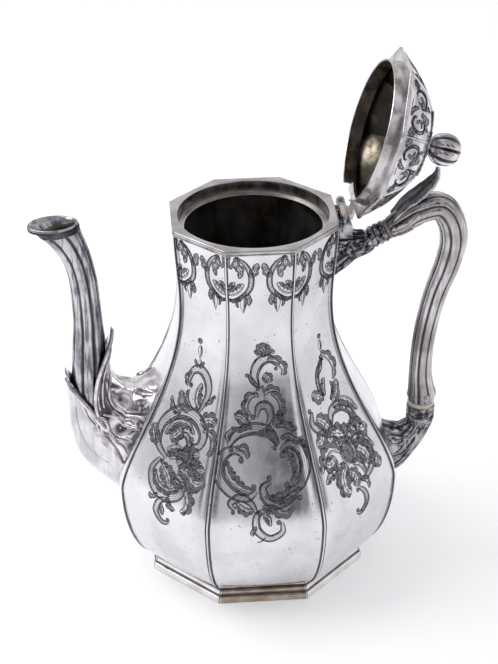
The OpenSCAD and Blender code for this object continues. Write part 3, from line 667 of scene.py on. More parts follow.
def mark_hollows(mesh: bpy.types.Mesh, grime_and_shade: Sequence[float]) -> None:
    """Stores how hollow the surface is at each point, where the finishes paint patina and shade.

    Args:
        mesh: the mesh to mark.
        grime_and_shade: least mark for each point.
    """
    count = len(mesh.vertices)
    spots = np.zeros(count * 3, np.float32)
    mesh.vertices.foreach_get("co", spots)
    spots = spots.reshape(-1, 3).astype(float)
    normals = np.zeros(count * 3, np.float32)
    mesh.vertex_normals.foreach_get("vector", normals)
    normals = normals.reshape(-1, 3)
    edges = np.zeros(len(mesh.edges) * 2, np.int32)
    mesh.edges.foreach_get("vertices", edges)
    a, b = edges.reshape(-1, 2).T
    step = spots[b] - spots[a]
    length = np.maximum(np.linalg.norm(step, axis=1, keepdims=True), 1e-9)
    step /= length
    total = np.zeros(count)
    links = np.zeros(count)
    for here, way in ((a, step), (b, -step)):
        np.add.at(total, here, (normals[here] * way).sum(axis=1))
        np.add.at(links, here, 1)
    hollow = total / np.maximum(links, 1)
    spread_sum = hollow * 1.0
    weight = np.ones(count)
    np.add.at(spread_sum, a, 0.5 * hollow[b])
    np.add.at(spread_sum, b, 0.5 * hollow[a])
    np.add.at(weight, a, 0.5)
    np.add.at(weight, b, 0.5)
    hollow = np.maximum(spread_sum / weight, np.array(grime_and_shade))
    layer = mesh.attributes.new("hollow", "FLOAT", "POINT")
    layer.data.foreach_set("value", hollow.astype(np.float32))


# ---- relief on any surface ----


@dataclass
class Loft:
    """Surface through rings of equal length, read by two shares from 0 to 1."""

    rings: list[Ring]

    def __call__(self, along: float, around: float) -> Vector:
        """Reads the surface.

        Args:
            along: share along the rings.
            around: share round them.

        Returns:
            The point there.
        """
        i = min(max(along, 0.0), 1.0) * (len(self.rings) - 1)
        count = len(self.rings[0])
        j = (around % 1.0) * count
        i0 = min(int(i), len(self.rings) - 2)
        j0 = int(j) % count
        j1 = (j0 + 1) % count
        near, far = self.rings[i0], self.rings[i0 + 1]
        low = near[j0].lerp(near[j1], j - int(j))
        high = far[j0].lerp(far[j1], j - int(j))
        return low.lerp(high, i - i0)


def facing(surface: Surface, u: float, v: float, inside: Vector) -> Vector:
    """Outward normal of a surface.

    Args:
        surface: the surface.
        u: first share.
        v: second share.
        inside: a point on the inner side.

    Returns:
        The unit normal that points away from the inside.
    """
    e = 0.004
    here = surface(u, v)
    first = surface(min(1.0, u + e), v) - surface(max(0.0, u - e), v)
    second = surface(u, v + e) - surface(u, v - e)
    normal = first.cross(second).normalized()
    return normal if normal.dot(here - inside) > 0 else -normal


@dataclass
class Relief:
    """Raised ornament laid on a surface: ribs, leaves and volutes of cast work."""

    skin: Skin
    surface: Surface
    inside: Callable[[float], Vector]
    # Grime and painted shade at the foot of each rib and along each leaf's edges and midrib.
    dirt_and_shade: float = 0.0
    sunk: float = 0.9

    def _frames(self, spine: Sequence[Flat], count: int) -> list[tuple[Vector, Vector, Vector]]:
        """Walks along a spine.

        Args:
            spine: points of its path, as shares of the surface.
            count: number of steps.

        Returns:
            Place, sideways direction and normal at each step.
        """
        last = len(spine) - 1
        shares = [curve_at(spine, t * last) for t in spread(count)]
        spots = [self.surface(u, v) for u, v in shares]
        frames = []
        for i, (u, v) in enumerate(shares):
            way = (spots[min(i + 1, count)] - spots[max(i - 1, 0)]).normalized()
            normal = facing(self.surface, u, v, self.inside(u))
            side = way.cross(normal).normalized()
            frames.append((spots[i], side, normal))
        return frames

    def rib(self, spine: Sequence[Flat], radius: float, lift: float = 0.3, taper: float = 0.4,
            steps: int = 28) -> None:
        """Adds a round rib.

        Args:
            spine: points of its path, as shares of the surface.
            radius: radius at its middle.
            lift: height of its axis above the surface, as a share of the radius.
            taper: radius at the ends as a share of the middle's.
            steps: number of steps along the rib.
        """
        rings = []
        for i, (spot, side, normal) in enumerate(self._frames(spine, steps)):
            size = radius * (taper + (1 - taper) * sin(pi * i / steps) ** 0.5)
            rings.append([
                spot + side * size * cos(tau * k / 10)
                + normal * size * (lift + sin(tau * k / 10))
                for k in range(10)
            ])
        self.skin.loft(rings, grime_and_shade=lambda _, k: 0.0 if 1 <= k <= 4 else self.dirt_and_shade)

    def leaf(self, spine: Sequence[Flat], width: float, height: float, lobes: int = 5,
             curl: float = 0.0, steps: int = 36) -> None:
        """Adds an acanthus leaf with scalloped edges, a sunk midrib and a curling tip.

        Args:
            spine: points of its midrib from root to tip, as shares of the surface.
            width: its full width.
            height: its height at the crown.
            lobes: number of lobes on each side.
            curl: how far the tip stands off.
            steps: number of steps along the leaf.
        """
        across = [k / 5 - 1 for k in range(11)]
        rings = []
        for i, (spot, side, normal) in enumerate(self._frames(spine, steps)):
            t = i / steps
            form = sin(pi * min(1.0, 0.12 + 0.88 * t)) ** 0.55 * (1 - 0.25 * t)
            lobe = 0.66 + 0.34 * abs(sin(pi * lobes * t ** 0.85)) ** 0.6
            half = max(0.12, 0.5 * width * form * lobe)
            rise = curl * t ** 3
            top = [
                spot + side * half * s + normal * (
                    rise + height * form * (1 - s * s) ** 0.5
                    * (1 - 0.55 * exp(-(s / 0.16) ** 2) - 0.16 * abs(sin(3 * pi * s)))
                )
                for s in across
            ]
            base = [spot + side * half * s + normal * (rise - self.sunk - 0.4 * height) for s in (0.8, -0.8)]
            rings.append(top + base)
        self.skin.loft(rings, grime_and_shade=lambda _, k: self.dirt_and_shade if k in (0, 4, 5, 6, 10) else 0.0)


# ---- engraving ----


@dataclass
class Engraver:
    """Cuts lines, scrolls and leaves into a skin, in a flat panel's own millimetres."""

    skin: Skin
    mapping: Mapping
    mirror: float = 1.0
    line_width: float = 0.31
    bold: float = 1.0

    line_lift: float = 0.14
    hatch_lift: float = 0.09
    leaf_lift: float = 0.10

    CUT_SLOT = 0
    HATCH_SLOT = 1
    SCROLL_SHADES = ((0.5, 0.97), (-0.97, -0.66))
    SCROLL_LINES = ((1.0, 1.3), (0.74, 0.6), (0.46, 0.8), (0.1, 0.6), (-0.3, 0.6), (-0.64, 0.8), (-1.0, 1.3))

    def _strip(self, left: Sequence[Flat], right: Sequence[Flat], slot: int, lift: float) -> None:
        """Adds a closed sliver between two edges.

        Args:
            left: points of one edge.
            right: points of the other edge.
            slot: number of the finish.
            lift: height of the sliver's crown above the panel.
        """
        rings = []
        for (lu, lv), (ru, rv) in zip(left, right):
            mu, mv = (lu + ru) / 2, (lv + rv) / 2
            rings.append([
                self._on(lu, lv, 0.45 * lift),
                self._on(mu, mv, lift),
                self._on(ru, rv, 0.45 * lift),
                self._on(mu, mv, -0.05),
            ])
        self.skin.loft(rings, slot=slot)

    def _on(self, u: float, v: float, lift: float) -> Vector:
        """Point of the panel, mirrored as the engraver is set."""
        return self.mapping(self.mirror * u, v, lift)

    @staticmethod
    def _path(points: Sequence[Flat], steps: int) -> list[tuple[Flat, Flat]]:
        """Walks along a smooth curve.

        Args:
            points: points that the curve passes through.
            steps: number of steps.

        Returns:
            The points on the way, each with the unit vector to its left.
        """
        last = len(points) - 1
        spots = [curve_at(points, t * last) for t in spread(steps)]
        path = []
        for i, spot in enumerate(spots):
            ahead, behind = spots[min(i + 1, steps)], spots[max(i - 1, 0)]
            du, dv = ahead[0] - behind[0], ahead[1] - behind[1]
            size = hypot(du, dv) or 1.0
            path.append(((spot[0], spot[1]), (-dv / size, du / size)))
        return path

    @staticmethod
    def _offset(path: Sequence[tuple[Flat, Flat]], widths: Sequence[float]) -> list[Flat]:
        """Curve beside a path at a width for each of its points."""
        return [(p[0] + n[0] * w, p[1] + n[1] * w) for (p, n), w in zip(path, widths)]

    def _band(self, path: Sequence[tuple[Flat, Flat]], left: Sequence[float], right: Sequence[float],
              slot: int, lift: float) -> None:
        """Adds a sliver along a path.

        Args:
            path: points with the unit vectors to their left.
            left: distance of one edge for each point.
            right: distance of the other edge for each point.
            slot: number of the finish.
            lift: height of the sliver's crown above the panel.
        """
        self._strip(self._offset(path, left), self._offset(path, right), slot, lift)

    def line(self, points: Sequence[Flat], width: float | None = None, steps: int = 0) -> None:
        """Cuts one swelling line.

        Args:
            points: points that its curve passes through.
            width: its greatest width; the engraver's usual width when left out.
            steps: number of steps; worked out from the points when 0.
        """
        wide = width or self.line_width
        count = steps or max(6, 6 * (len(points) - 1))
        path = self._path(points, count)
        half = [wide / 2 * (0.25 + 0.75 * sin(pi * t) ** 0.5) for t in spread(count)]
        self._band(path, half, [-w for w in half], self.CUT_SLOT, self.line_lift)

    def scroll(self, points: Sequence[Flat], width: float, shade: float = 1.0, ends: float = 1.0) -> None:
        """Cuts a C-scroll: two outlines, an inner line, shading and a bulb at each end.

        Args:
            points: points of its spine.
            width: its width at the middle.
            shade: side that is hatched: 1 is the left of the spine and -1 the right.
            ends: size of the end bulbs as a share of the width.
        """
        count = max(16, 8 * (len(points) - 1))
        path = self._path(points, count)
        form = [0.25 + 0.75 * sin(pi * t) ** 0.8 for t in spread(count)]
        edge = [0.5 * self.bold * width * f * shade for f in form]
        for low, high in self.SCROLL_SHADES:
            left, right = [low * w for w in edge], [high * w for w in edge]
            self._band(path, left, right, self.HATCH_SLOT, self.hatch_lift)
        for share, wide in self.SCROLL_LINES:
            self.line(self._offset(path, [share * w for w in edge]), wide * self.line_width, count)
        for (u, v), (nu, nv) in (path[0], path[-1]):
            reach = 0.5 * width * shade
            self.knob((u + nu * reach, v + nv * reach), 0.42 * width * ends)

    def knob(self, centre: Flat, radius: float) -> None:
        """Cuts a round hatched boss with an outline.

        Args:
            centre: its middle.
            radius: its radius; nothing is cut when it is 0.
        """
        if radius <= 0:
            return
        turn = [tau * t for t in spread(12)]
        rim = [(centre[0] + radius * cos(a), centre[1] + radius * sin(a)) for a in turn]
        arc = [(centre[0] + 0.9 * radius * cos(a / 2), centre[1] + 0.9 * radius * sin(a / 2))
               for a in turn]
        back = [(x, 2 * centre[1] - y) for x, y in arc]
        self._strip(arc, back, self.HATCH_SLOT, self.hatch_lift)
        self.line(rim, self.line_width)

    def leaf(self, points: Sequence[Flat], width: float, lobes: int, both: bool = False) -> None:
        """Cuts an acanthus leaf: a lobed outer edge, hatched ground, veins and a dark outline.

        Args:
            points: points of its midrib from root to tip.
            width: width of the lobed side; a negative width puts the lobes on the right.
            lobes: number of lobes.
            both: gives both sides lobes.
        """
        count = max(24, 8 * lobes)
        path = self._path(points, count)
        outer = []
        for t in spread(count):
            form = sin(pi * (0.08 + 0.9 * t)) ** 0.7
            lobe = 0.56 + 0.44 * abs(sin(pi * lobes * t ** 0.9)) ** 0.55
            outer.append(self.bold * width * form * lobe)
        inner = [-w if both else -0.16 * w for w in outer]
        sides = [outer, inner] if both else [outer]
        for side in sides:
            self._band(path, side, [0.3 * w for w in side], self.HATCH_SLOT, self.leaf_lift)
        self.line(self._offset(path, outer), 1.15 * self.line_width, count * 2)
        self.line(self._offset(path, inner), self.line_width, count * 2)
        self.line(points, 1.3 * self.line_width, count)
        for k in range(lobes):
            for shift in (0.3, 0.62):
                at = int(count * min(1.0, (k + shift) / lobes) ** (1 / 0.9))
                root = max(0, at - count // 6)
                for side in sides:
                    tip = self._offset([path[at]], [0.86 * side[at]])[0]
                    mid = self._offset([path[(at + root) // 2]], [0.34 * side[at]])[0]
                    self.line([path[root][0], mid, tip], 0.6 * self.line_width, 5)

    def twin(self, points: Sequence[Flat], width: float, lobes: int) -> None:
        """Cuts an acanthus leaf with lobes on both sides."""
        self.leaf(points, width, lobes, both=True)

    def drop(self, top: Flat, tip: Flat, width: float) -> None:
        """Cuts a hanging teardrop, shaded on one side.

        Args:
            top: its upper point.
            tip: its lower point.
            width: its greatest width.
        """
        du, dv = tip[0] - top[0], tip[1] - top[1]
        size = hypot(du, dv) or 1.0
        nu, nv = -dv / size, du / size
        edges = []
        for side in (0.5, -0.5):
            edges.append([
                (top[0] + du * t + nu * width * side * sin(pi * t ** 0.75),
                 top[1] + dv * t + nv * width * side * sin(pi * t ** 0.75))
                for t in spread(10)
            ])
        middle = [((a[0] + b[0]) / 2, (a[1] + b[1]) / 2) for a, b in zip(*edges)]
        self._strip(edges[0], middle, self.HATCH_SLOT, self.hatch_lift)
        self.line(edges[0], self.line_width, 12)
        self.line(edges[1], self.line_width, 12)


# ---- body ----


@dataclass
class PotBody:
    """Body of eight bowed panels with a raised seam on every edge, and its engraving."""

    rim_height: float = 210.0
    rim_r: float = 46.0
    waist_r: float = 43.6
    waist_height: float = 167.0
    belly_r: float = 81.5
    belly_height: float = 61.0
    seat_r: float = 60.5
    foot_height: float = 12.0
    wall: float = 1.0
    bow: float = 2.2
    sweep: float = 0.75
    plate_t: float = 0.9
    unevenness: float = 0.16
    unevenness_size: float = 26.0
    seam: tuple[Flat, ...] = ((0.0, 0.46), (0.26, 0.38), (0.44, 0.08), (0.66, -0.28), (1.25, -0.28), (1.7, 0.0))
    seam_top: float = 0.7
    seam_grime: float = 0.34
    polished_seams: tuple[int, ...] = (0, 3)
    floor_rise: float = 0.6
    engraving_weight: float = 1.3
    ring_count: int = 110
    across: int = 10

    def radius(self, z: float) -> float:
        """Corner radius of the body.

        Args:
            z: height.

        Returns:
            The radius at that height.
        """
        if z >= self.waist_height:
            turn = pi * (z - self.waist_height) / (self.rim_height - self.waist_height)
            return self.waist_r + (self.rim_r - self.waist_r) * (1 - cos(turn)) / 2
        if z >= self.belly_height:
            share = (z - self.belly_height) / (self.waist_height - self.belly_height)
            return self.waist_r + (self.belly_r - self.waist_r) * (1 + cos(pi * share ** self.sweep)) / 2
        share = (self.belly_height - z) / (self.belly_height - self.foot_height)
        return self.belly_r - (self.belly_r - self.seat_r) * (1 - sqrt(max(0.0, 1 - share * share)))

    def bow_at(self, z: float) -> float:
        """Bow of the panels at a height."""
        return self.bow * (self.radius(z) - self.waist_r) / (self.belly_r - self.waist_r)

    def half(self, z: float) -> float:
        """Half width of a panel at a height."""
        return self.radius(z) * HALF_SIDE

    def panel(self, turn: float, u: float, z: float, lift: float = 0.0) -> Vector:
        """Point on a panel.

        Args:
            turn: direction that the panel faces, in radians.
            u: distance from the panel's middle.
            z: height.
            lift: distance above the sheet.

        Returns:
            The point in the part's frame.
        """
        half = self.half(z)
        f = max(-1.0, min(1.0, u / half))
        out = self.radius(z) * FLAT + self.bow_at(z) * (1 - f * f)
        slope = (self.radius(z + 0.5) - self.radius(z - 0.5)) * FLAT
        lean = 2 * self.bow_at(z) * f / half
        normal = Vector((1.0, lean, -slope)).normalized()
        wave = self.unevenness * noise.noise(polar(out, turn, z) / self.unevenness_size)
        spot = Vector((out, u, z)) + normal * (lift + wave)
        return Matrix.Rotation(turn, 3, "Z") @ spot

    def ring(self, z: float, grow: float = 0.0, seam: bool = True) -> Ring:
        """Ring of the body.

        Args:
            z: height.
            grow: distance outwards.
            seam: whether the seams stand up from it.

        Returns:
            The ring's points.
        """
        half = self.half(z)
        size = self.seam_size(z)
        rise = 1.0 if seam else 0.0
        marks = seam_marks(self.seam, size, rise, half, self.across)
        ring = []
        for i in range(SIDES):
            turn = 2 * CORNER * (i + 1)
            crown = polar((self.seam[0][1] * rise * size + grow) / FLAT, turn - CORNER, 0.0)
            ring.append(self.panel(turn, -half, z) + crown)
            ring += [self.panel(turn, distance - half, z, grow + height) for distance, height in marks]
        return ring

    def seam_size(self, z: float) -> float:
        """Width of the seams at a height, as a share of their width on the belly."""
        share = (self.radius(z) - self.waist_r) / (self.belly_r - self.waist_r)
        return self.seam_top + (1 - self.seam_top) * share

    def _seam_dirt(self, ring: int, point: int) -> float:
        """Grime in the grooves beside the seams, apart from the two that are kept polished.

        Args:
            ring: number of the ring.
            point: number of the point round it.

        Returns:
            The grime there.
        """
        marks = len(self.seam) - 1
        place = point % (2 * marks + self.across)
        near = min(place, 2 * marks + self.across - place)
        corner = round(point / (2 * marks + self.across)) % SIDES
        hidden = ring > self.ring_count or corner in self.polished_seams
        return self.seam_grime if 2 <= near <= 4 and not hidden else 0.0

    def build(self) -> None:
        """Builds the body and its engraving."""
        top = self.rim_height - self.plate_t
        levels = [self.foot_height + (top - self.foot_height) * t ** 1.4 for t in spread(self.ring_count)]
        outer = [self.ring(z) for z in levels]
        depths = [max(0.0, (self.belly_height - z) / self.belly_height) for z in levels]
        inner = [
            self.ring(z + self.floor_rise * depth ** 5, -self.wall, seam=False)
            for z, depth in reversed(list(zip(levels, depths)))
        ]
        skin = Skin()
        skin.loft(outer + inner, loop=True, slot=lambda i, _: 0 if i < self.ring_count else 1,
                  grime_and_shade=self._seam_dirt)
        skin.make("body_panels", Body.POT, [PANEL, INTERIOR], Slot.POLISHED, ["body_shell"], sharp=55.0)
        self.engrave()

    def engrave(self) -> None:
        """Engraves the panels and the swags of the neck."""
        panels = Skin()
        swags = Skin()
        for i in range(SIDES):
            turn = 2 * CORNER * (i + 1)
            toward = round(degrees(turn)) % 360
            design = PANEL_DESIGNS.get(toward)
            if design:
                draw, mirror = design
                draw(Engraver(panels, lambda u, v, h, t=turn: self.panel(t, u, v, h), mirror,
                              bold=self.engraving_weight))
            corner = turn + CORNER
            draw_swag(Engraver(swags, lambda u, v, h, c=corner: self.across_corner(c, u, v, h)))
        panels.make("panel_engraving", Body.POT, [CUT, HATCHING], Slot.WORN, sharp=80.0)
        swags.make("neck_swags", Body.POT, [CUT, HATCHING], Slot.WORN, sharp=80.0)

    def across_corner(self, corner: float, u: float, z: float, lift: float) -> Vector:
        """Point near a corner.

        Args:
            corner: direction of the corner in radians.
            u: distance across it, from one panel to the next.
            z: height.
            lift: distance above the sheet.

        Returns:
            The point in the part's frame.
        """
        side = 1.0 if u >= 0 else -1.0
        gap = max(abs(u), 0.001)
        return self.panel(corner + side * CORNER, side * (gap - self.half(z)), z, lift)


# ---- engraved designs, in millimetres across a panel and above the table ----


def draw_swag(pen: Engraver) -> None:
    """Swag that hangs from the rim across a corner of the neck.

    Args:
        pen: the engraver set to its panel.
    """
    for side in (-1.0, 1.0):
        pen.mirror = side
        pen.scroll([(4.6, 206.4), (9.6, 202.4), (12.6, 195.0), (11.6, 187.2), (6.2, 182.2), (0.8, 180.8)],
                   2.9, 1.0, 0.0)
        pen.leaf([(0.2, 184.6), (3.6, 184.8), (6.8, 186.8), (9.0, 190.6)], 5.6, 5)
        pen.leaf([(0.2, 187.4), (2.6, 188.6), (4.6, 191.8)], 3.2, 3)
        pen.leaf([(0.2, 182.4), (3.4, 181.6), (6.4, 182.6), (9.8, 186.4)], -2.2, 4)
        pen.twin([(12.2, 194.6), (14.2, 197.6), (16.2, 202.6)], -2.4, 3)
        pen.twin([(5.8, 206.6), (5.0, 202.4), (7.4, 198.4), (6.6, 193.8)], 2.3, 4)
        pen.leaf([(2.4, 206.6), (1.8, 203.0), (3.2, 199.6)], -1.5, 2)
        pen.drop((8.4, 183.4), (8.0, 172.8), 3.2)
        pen.twin([(9.6, 184.2), (11.2, 181.6), (11.0, 177.4)], 1.6, 2)
        pen.leaf([(6.4, 182.2), (5.4, 179.4), (5.8, 176.4)], -1.3, 2)
    pen.mirror = 1.0


def draw_wreath(pen: Engraver) -> None:
    """Wreath of scrolls round a bare shield, with sprays above and below.

    Args:
        pen: the engraver set to its panel.
    """
    pen.leaf([(-1.6, 148.2), (1.2, 151.4), (4.4, 153.4)], 3.2, 3)
    pen.twin([(3.4, 148.0), (1.4, 151.6), (-1.6, 154.0)], 3.0, 3)
    pen.leaf([(1.2, 147.6), (4.6, 149.6), (7.4, 149.2)], 2.0, 3)
    pen.scroll([(-1.4, 131.0), (-3.4, 138.0), (-0.6, 144.6), (5.0, 146.4), (9.4, 142.4)], 4.2, -1.0, 0.5)
    pen.leaf([(3.2, 145.2), (7.6, 144.6), (11.0, 140.6), (10.6, 137.4)], 3.0, 4)
    pen.twin([(1.2, 138.0), (3.4, 136.2), (4.2, 133.6)], 2.4, 3)
    pen.scroll([(-1.2, 131.6), (-4.4, 134.6), (-6.4, 138.4)], 1.8, 1.0, 1.3)
    pen.line([(0.2, 131.6), (1.4, 127.6), (0.8, 122.4)])
    pen.leaf([(1.6, 127.6), (5.4, 129.6), (9.6, 128.6)], 2.6, 3)
    pen.leaf([(4.6, 128.2), (8.2, 125.0), (9.6, 119.6), (7.6, 114.6)], 2.6, 5)
    pen.leaf([(-1.4, 127.2), (-5.6, 126.4), (-7.6, 121.6), (-5.4, 118.0)], -2.8, 4)
    pen.scroll([(-3.2, 116.6), (-1.6, 121.8), (2.6, 122.4), (4.6, 117.6), (2.2, 112.8)], 3.4, 1.0, 0.8)
    pen.twin([(-7.4, 113.0), (-11.4, 117.4), (-14.6, 117.2)], -2.6, 4)
    pen.leaf([(-5.2, 112.4), (-8.6, 113.8), (-12.2, 112.4), (-16.6, 112.8)], 2.2, 5)
    pen.twin([(6.4, 112.0), (9.4, 116.6), (12.4, 116.8)], 2.6, 4)
    pen.leaf([(7.2, 111.4), (11.6, 111.8), (15.0, 109.6), (18.4, 110.6)], 2.6, 5)
    pen.leaf([(8.8, 106.8), (13.4, 108.4), (17.6, 106.0), (20.8, 106.8)], -2.4, 5)
    pen.scroll([(-18.6, 103.6), (-13.0, 109.4), (-4.6, 111.6), (3.4, 109.6), (8.0, 103.4)], 4.6, -1.0, 0.6)
    pen.leaf([(-2.6, 108.2), (2.6, 107.4), (7.4, 102.8)], 3.2, 4)
    pen.scroll([(-10.6, 98.8), (-15.6, 101.8), (-21.6, 98.6), (-23.8, 90.0), (-18.0, 82.2), (-9.6, 79.4),
                (-4.6, 82.4)], 4.6, 1.0, 0.7)
    pen.leaf([(-21.0, 97.0), (-19.8, 90.0), (-14.4, 84.2), (-7.0, 81.8)], 3.8, 6)
    pen.leaf([(-14.6, 101.4), (-10.4, 101.6), (-8.8, 97.4)], 2.4, 3)
    pen.scroll([(8.6, 100.4), (14.0, 103.6), (20.0, 99.6), (21.8, 91.6), (18.2, 83.6), (11.8, 82.4)],
               4.4, -1.0, 0.8)
    pen.leaf([(11.4, 102.0), (17.0, 99.0), (18.6, 91.4), (14.6, 84.4)], -3.8, 6)
    pen.scroll([(3.2, 86.6), (-1.2, 83.6), (1.4, 77.2), (8.6, 75.4), (17.2, 79.6)], 3.6, -1.0, 0.8)
    pen.leaf([(-0.4, 79.4), (5.0, 77.6), (11.0, 79.6), (13.4, 84.6)], 2.6, 5)
    pen.leaf([(-18.6, 105.6), (-19.4, 109.2), (-15.2, 112.4)], -2.4, 3)
    pen.leaf([(17.6, 104.6), (20.8, 101.4), (23.0, 95.6)], 2.2, 4)
    pen.leaf([(3.6, 78.8), (9.4, 78.4), (14.4, 80.8), (18.6, 83.6)], -2.8, 5)
    pen.scroll([(-16.2, 73.4), (-18.6, 76.8), (-13.2, 79.6), (-7.6, 76.6), (-4.6, 70.8)], 3.0, 1.0, 0.8)
    pen.leaf([(-14.8, 77.4), (-10.6, 74.2), (-6.4, 73.6)], -3.2, 4)
    pen.leaf([(-1.8, 75.2), (4.4, 75.0), (9.8, 71.6), (14.6, 74.4)], -3.4, 6)
    pen.scroll([(0.6, 73.4), (-4.8, 70.2), (-4.6, 62.4), (1.6, 57.0), (8.2, 60.4), (8.4, 66.4)], 3.6, 1.0, 0.8)
    pen.leaf([(-1.0, 71.0), (2.2, 68.8), (2.6, 64.4)], -2.6, 3)
    pen.leaf([(-5.4, 65.2), (-8.2, 61.6), (-7.2, 58.8)], 1.8, 2)
    pen.line([(-0.2, 58.2), (-2.6, 55.4), (-5.0, 54.8)], 0.7)


def draw_spray(pen: Engraver) -> None:
    """Tall spray of leaf scrolls that hangs from a chain of beads.

    Args:
        pen: the engraver set to its panel.
    """
    pen.knob((-1.4, 150.8), 1.5)
    pen.drop((-0.9, 148.8), (-0.2, 141.2), 2.8)
    pen.leaf([(-0.6, 136.4), (-1.6, 138.6), (-3.2, 140.4)], 1.3, 2)
    pen.leaf([(0.4, 136.4), (1.4, 139.0), (3.0, 140.8)], -1.3, 2)
    pen.drop((0.3, 141.4), (0.6, 136.4), 1.9)
    pen.scroll([(-4.6, 126.6), (-3.2, 133.6), (2.0, 135.8), (7.4, 132.0), (9.4, 125.0), (6.6, 115.6)],
               4.0, -1.0, 0.7)
    pen.leaf([(6.2, 116.4), (2.8, 119.6), (2.0, 125.0), (4.0, 129.8)], -3.6, 4)
    pen.leaf([(-3.6, 133.0), (-5.6, 129.2), (-4.6, 125.2)], -1.8, 3)
    pen.scroll([(9.6, 121.0), (12.2, 122.4), (13.2, 125.6)], 1.6, -1.0, 1.3)
    pen.leaf([(2.8, 115.2), (-2.2, 119.0), (-3.0, 124.0)], 1.9, 3)
    pen.twin([(0.2, 113.6), (-5.4, 116.4), (-8.0, 122.0)], 2.4, 4)
    pen.leaf([(-4.4, 111.6), (-9.6, 112.8), (-13.0, 117.4)], 2.2, 4)
    pen.scroll([(-4.8, 88.6), (-13.2, 93.4), (-14.2, 103.0), (-6.0, 111.4), (5.0, 112.4), (13.0, 106.8),
                (12.8, 100.2), (7.6, 98.8)], 5.2, -1.0, 0.7)
    pen.leaf([(-11.0, 99.0), (-6.4, 107.0), (2.4, 108.8), (8.2, 104.6)], -3.4, 6)
    pen.twin([(9.8, 110.6), (14.4, 113.8), (19.2, 112.6)], 3.4, 4)
    pen.twin([(-13.4, 93.4), (-17.6, 96.4), (-19.2, 101.4)], 3.0, 4)
    pen.twin([(-6.6, 98.2), (-2.6, 101.6), (-1.4, 105.8)], 3.4, 4)
    pen.twin([(2.8, 88.2), (8.4, 93.6), (14.8, 96.6)], 4.4, 5)
    pen.twin([(-6.4, 84.6), (-0.6, 80.6), (2.4, 75.8)], 3.8, 4)
    pen.twin([(10.6, 91.8), (15.8, 88.6), (20.6, 90.6)], 3.6, 4)
    pen.leaf([(12.4, 107.4), (17.6, 106.6), (20.2, 101.4), (18.6, 97.8)], 3.0, 4)
    pen.scroll([(-2.2, 98.4), (2.8, 102.6), (6.8, 98.2), (3.4, 93.6)], 2.4, -1.0, 0.9)
    pen.leaf([(-6.6, 92.6), (-1.0, 96.4), (5.8, 95.0), (10.6, 97.8)], -4.0, 5)
    pen.leaf([(-2.6, 88.6), (4.6, 91.4), (12.2, 89.4), (18.0, 92.8)], 4.4, 6)
    pen.twin([(4.8, 86.8), (11.6, 86.4), (17.6, 83.0), (23.4, 85.6)], 4.2, 6)
    pen.leaf([(1.8, 84.4), (6.2, 81.2), (11.8, 81.0)], -3.4, 4)
    pen.scroll([(-8.6, 87.4), (-12.4, 80.4), (-7.6, 73.0), (1.4, 71.0), (9.6, 74.6), (9.2, 81.2), (3.0, 82.6)],
               4.4, 1.0, 0.7)
    pen.leaf([(-9.4, 81.6), (-5.6, 76.6), (1.6, 74.8), (6.4, 77.6)], -3.0, 5)
    pen.leaf([(9.6, 78.0), (14.0, 75.2), (14.8, 70.0), (12.4, 66.8)], 4.4, 5)
    pen.leaf([(3.4, 71.6), (5.8, 68.0), (9.4, 66.2)], -2.4, 3)
    pen.leaf([(-4.6, 71.0), (-7.6, 68.2), (-9.6, 69.4)], 1.8, 2)
    pen.scroll([(4.4, 70.0), (-1.6, 67.4), (-3.4, 60.4), (0.4, 55.6), (5.6, 56.8)], 3.4, 1.0, 0.8)
    pen.leaf([(-0.4, 66.6), (1.8, 63.2), (1.0, 59.6)], -2.2, 3)


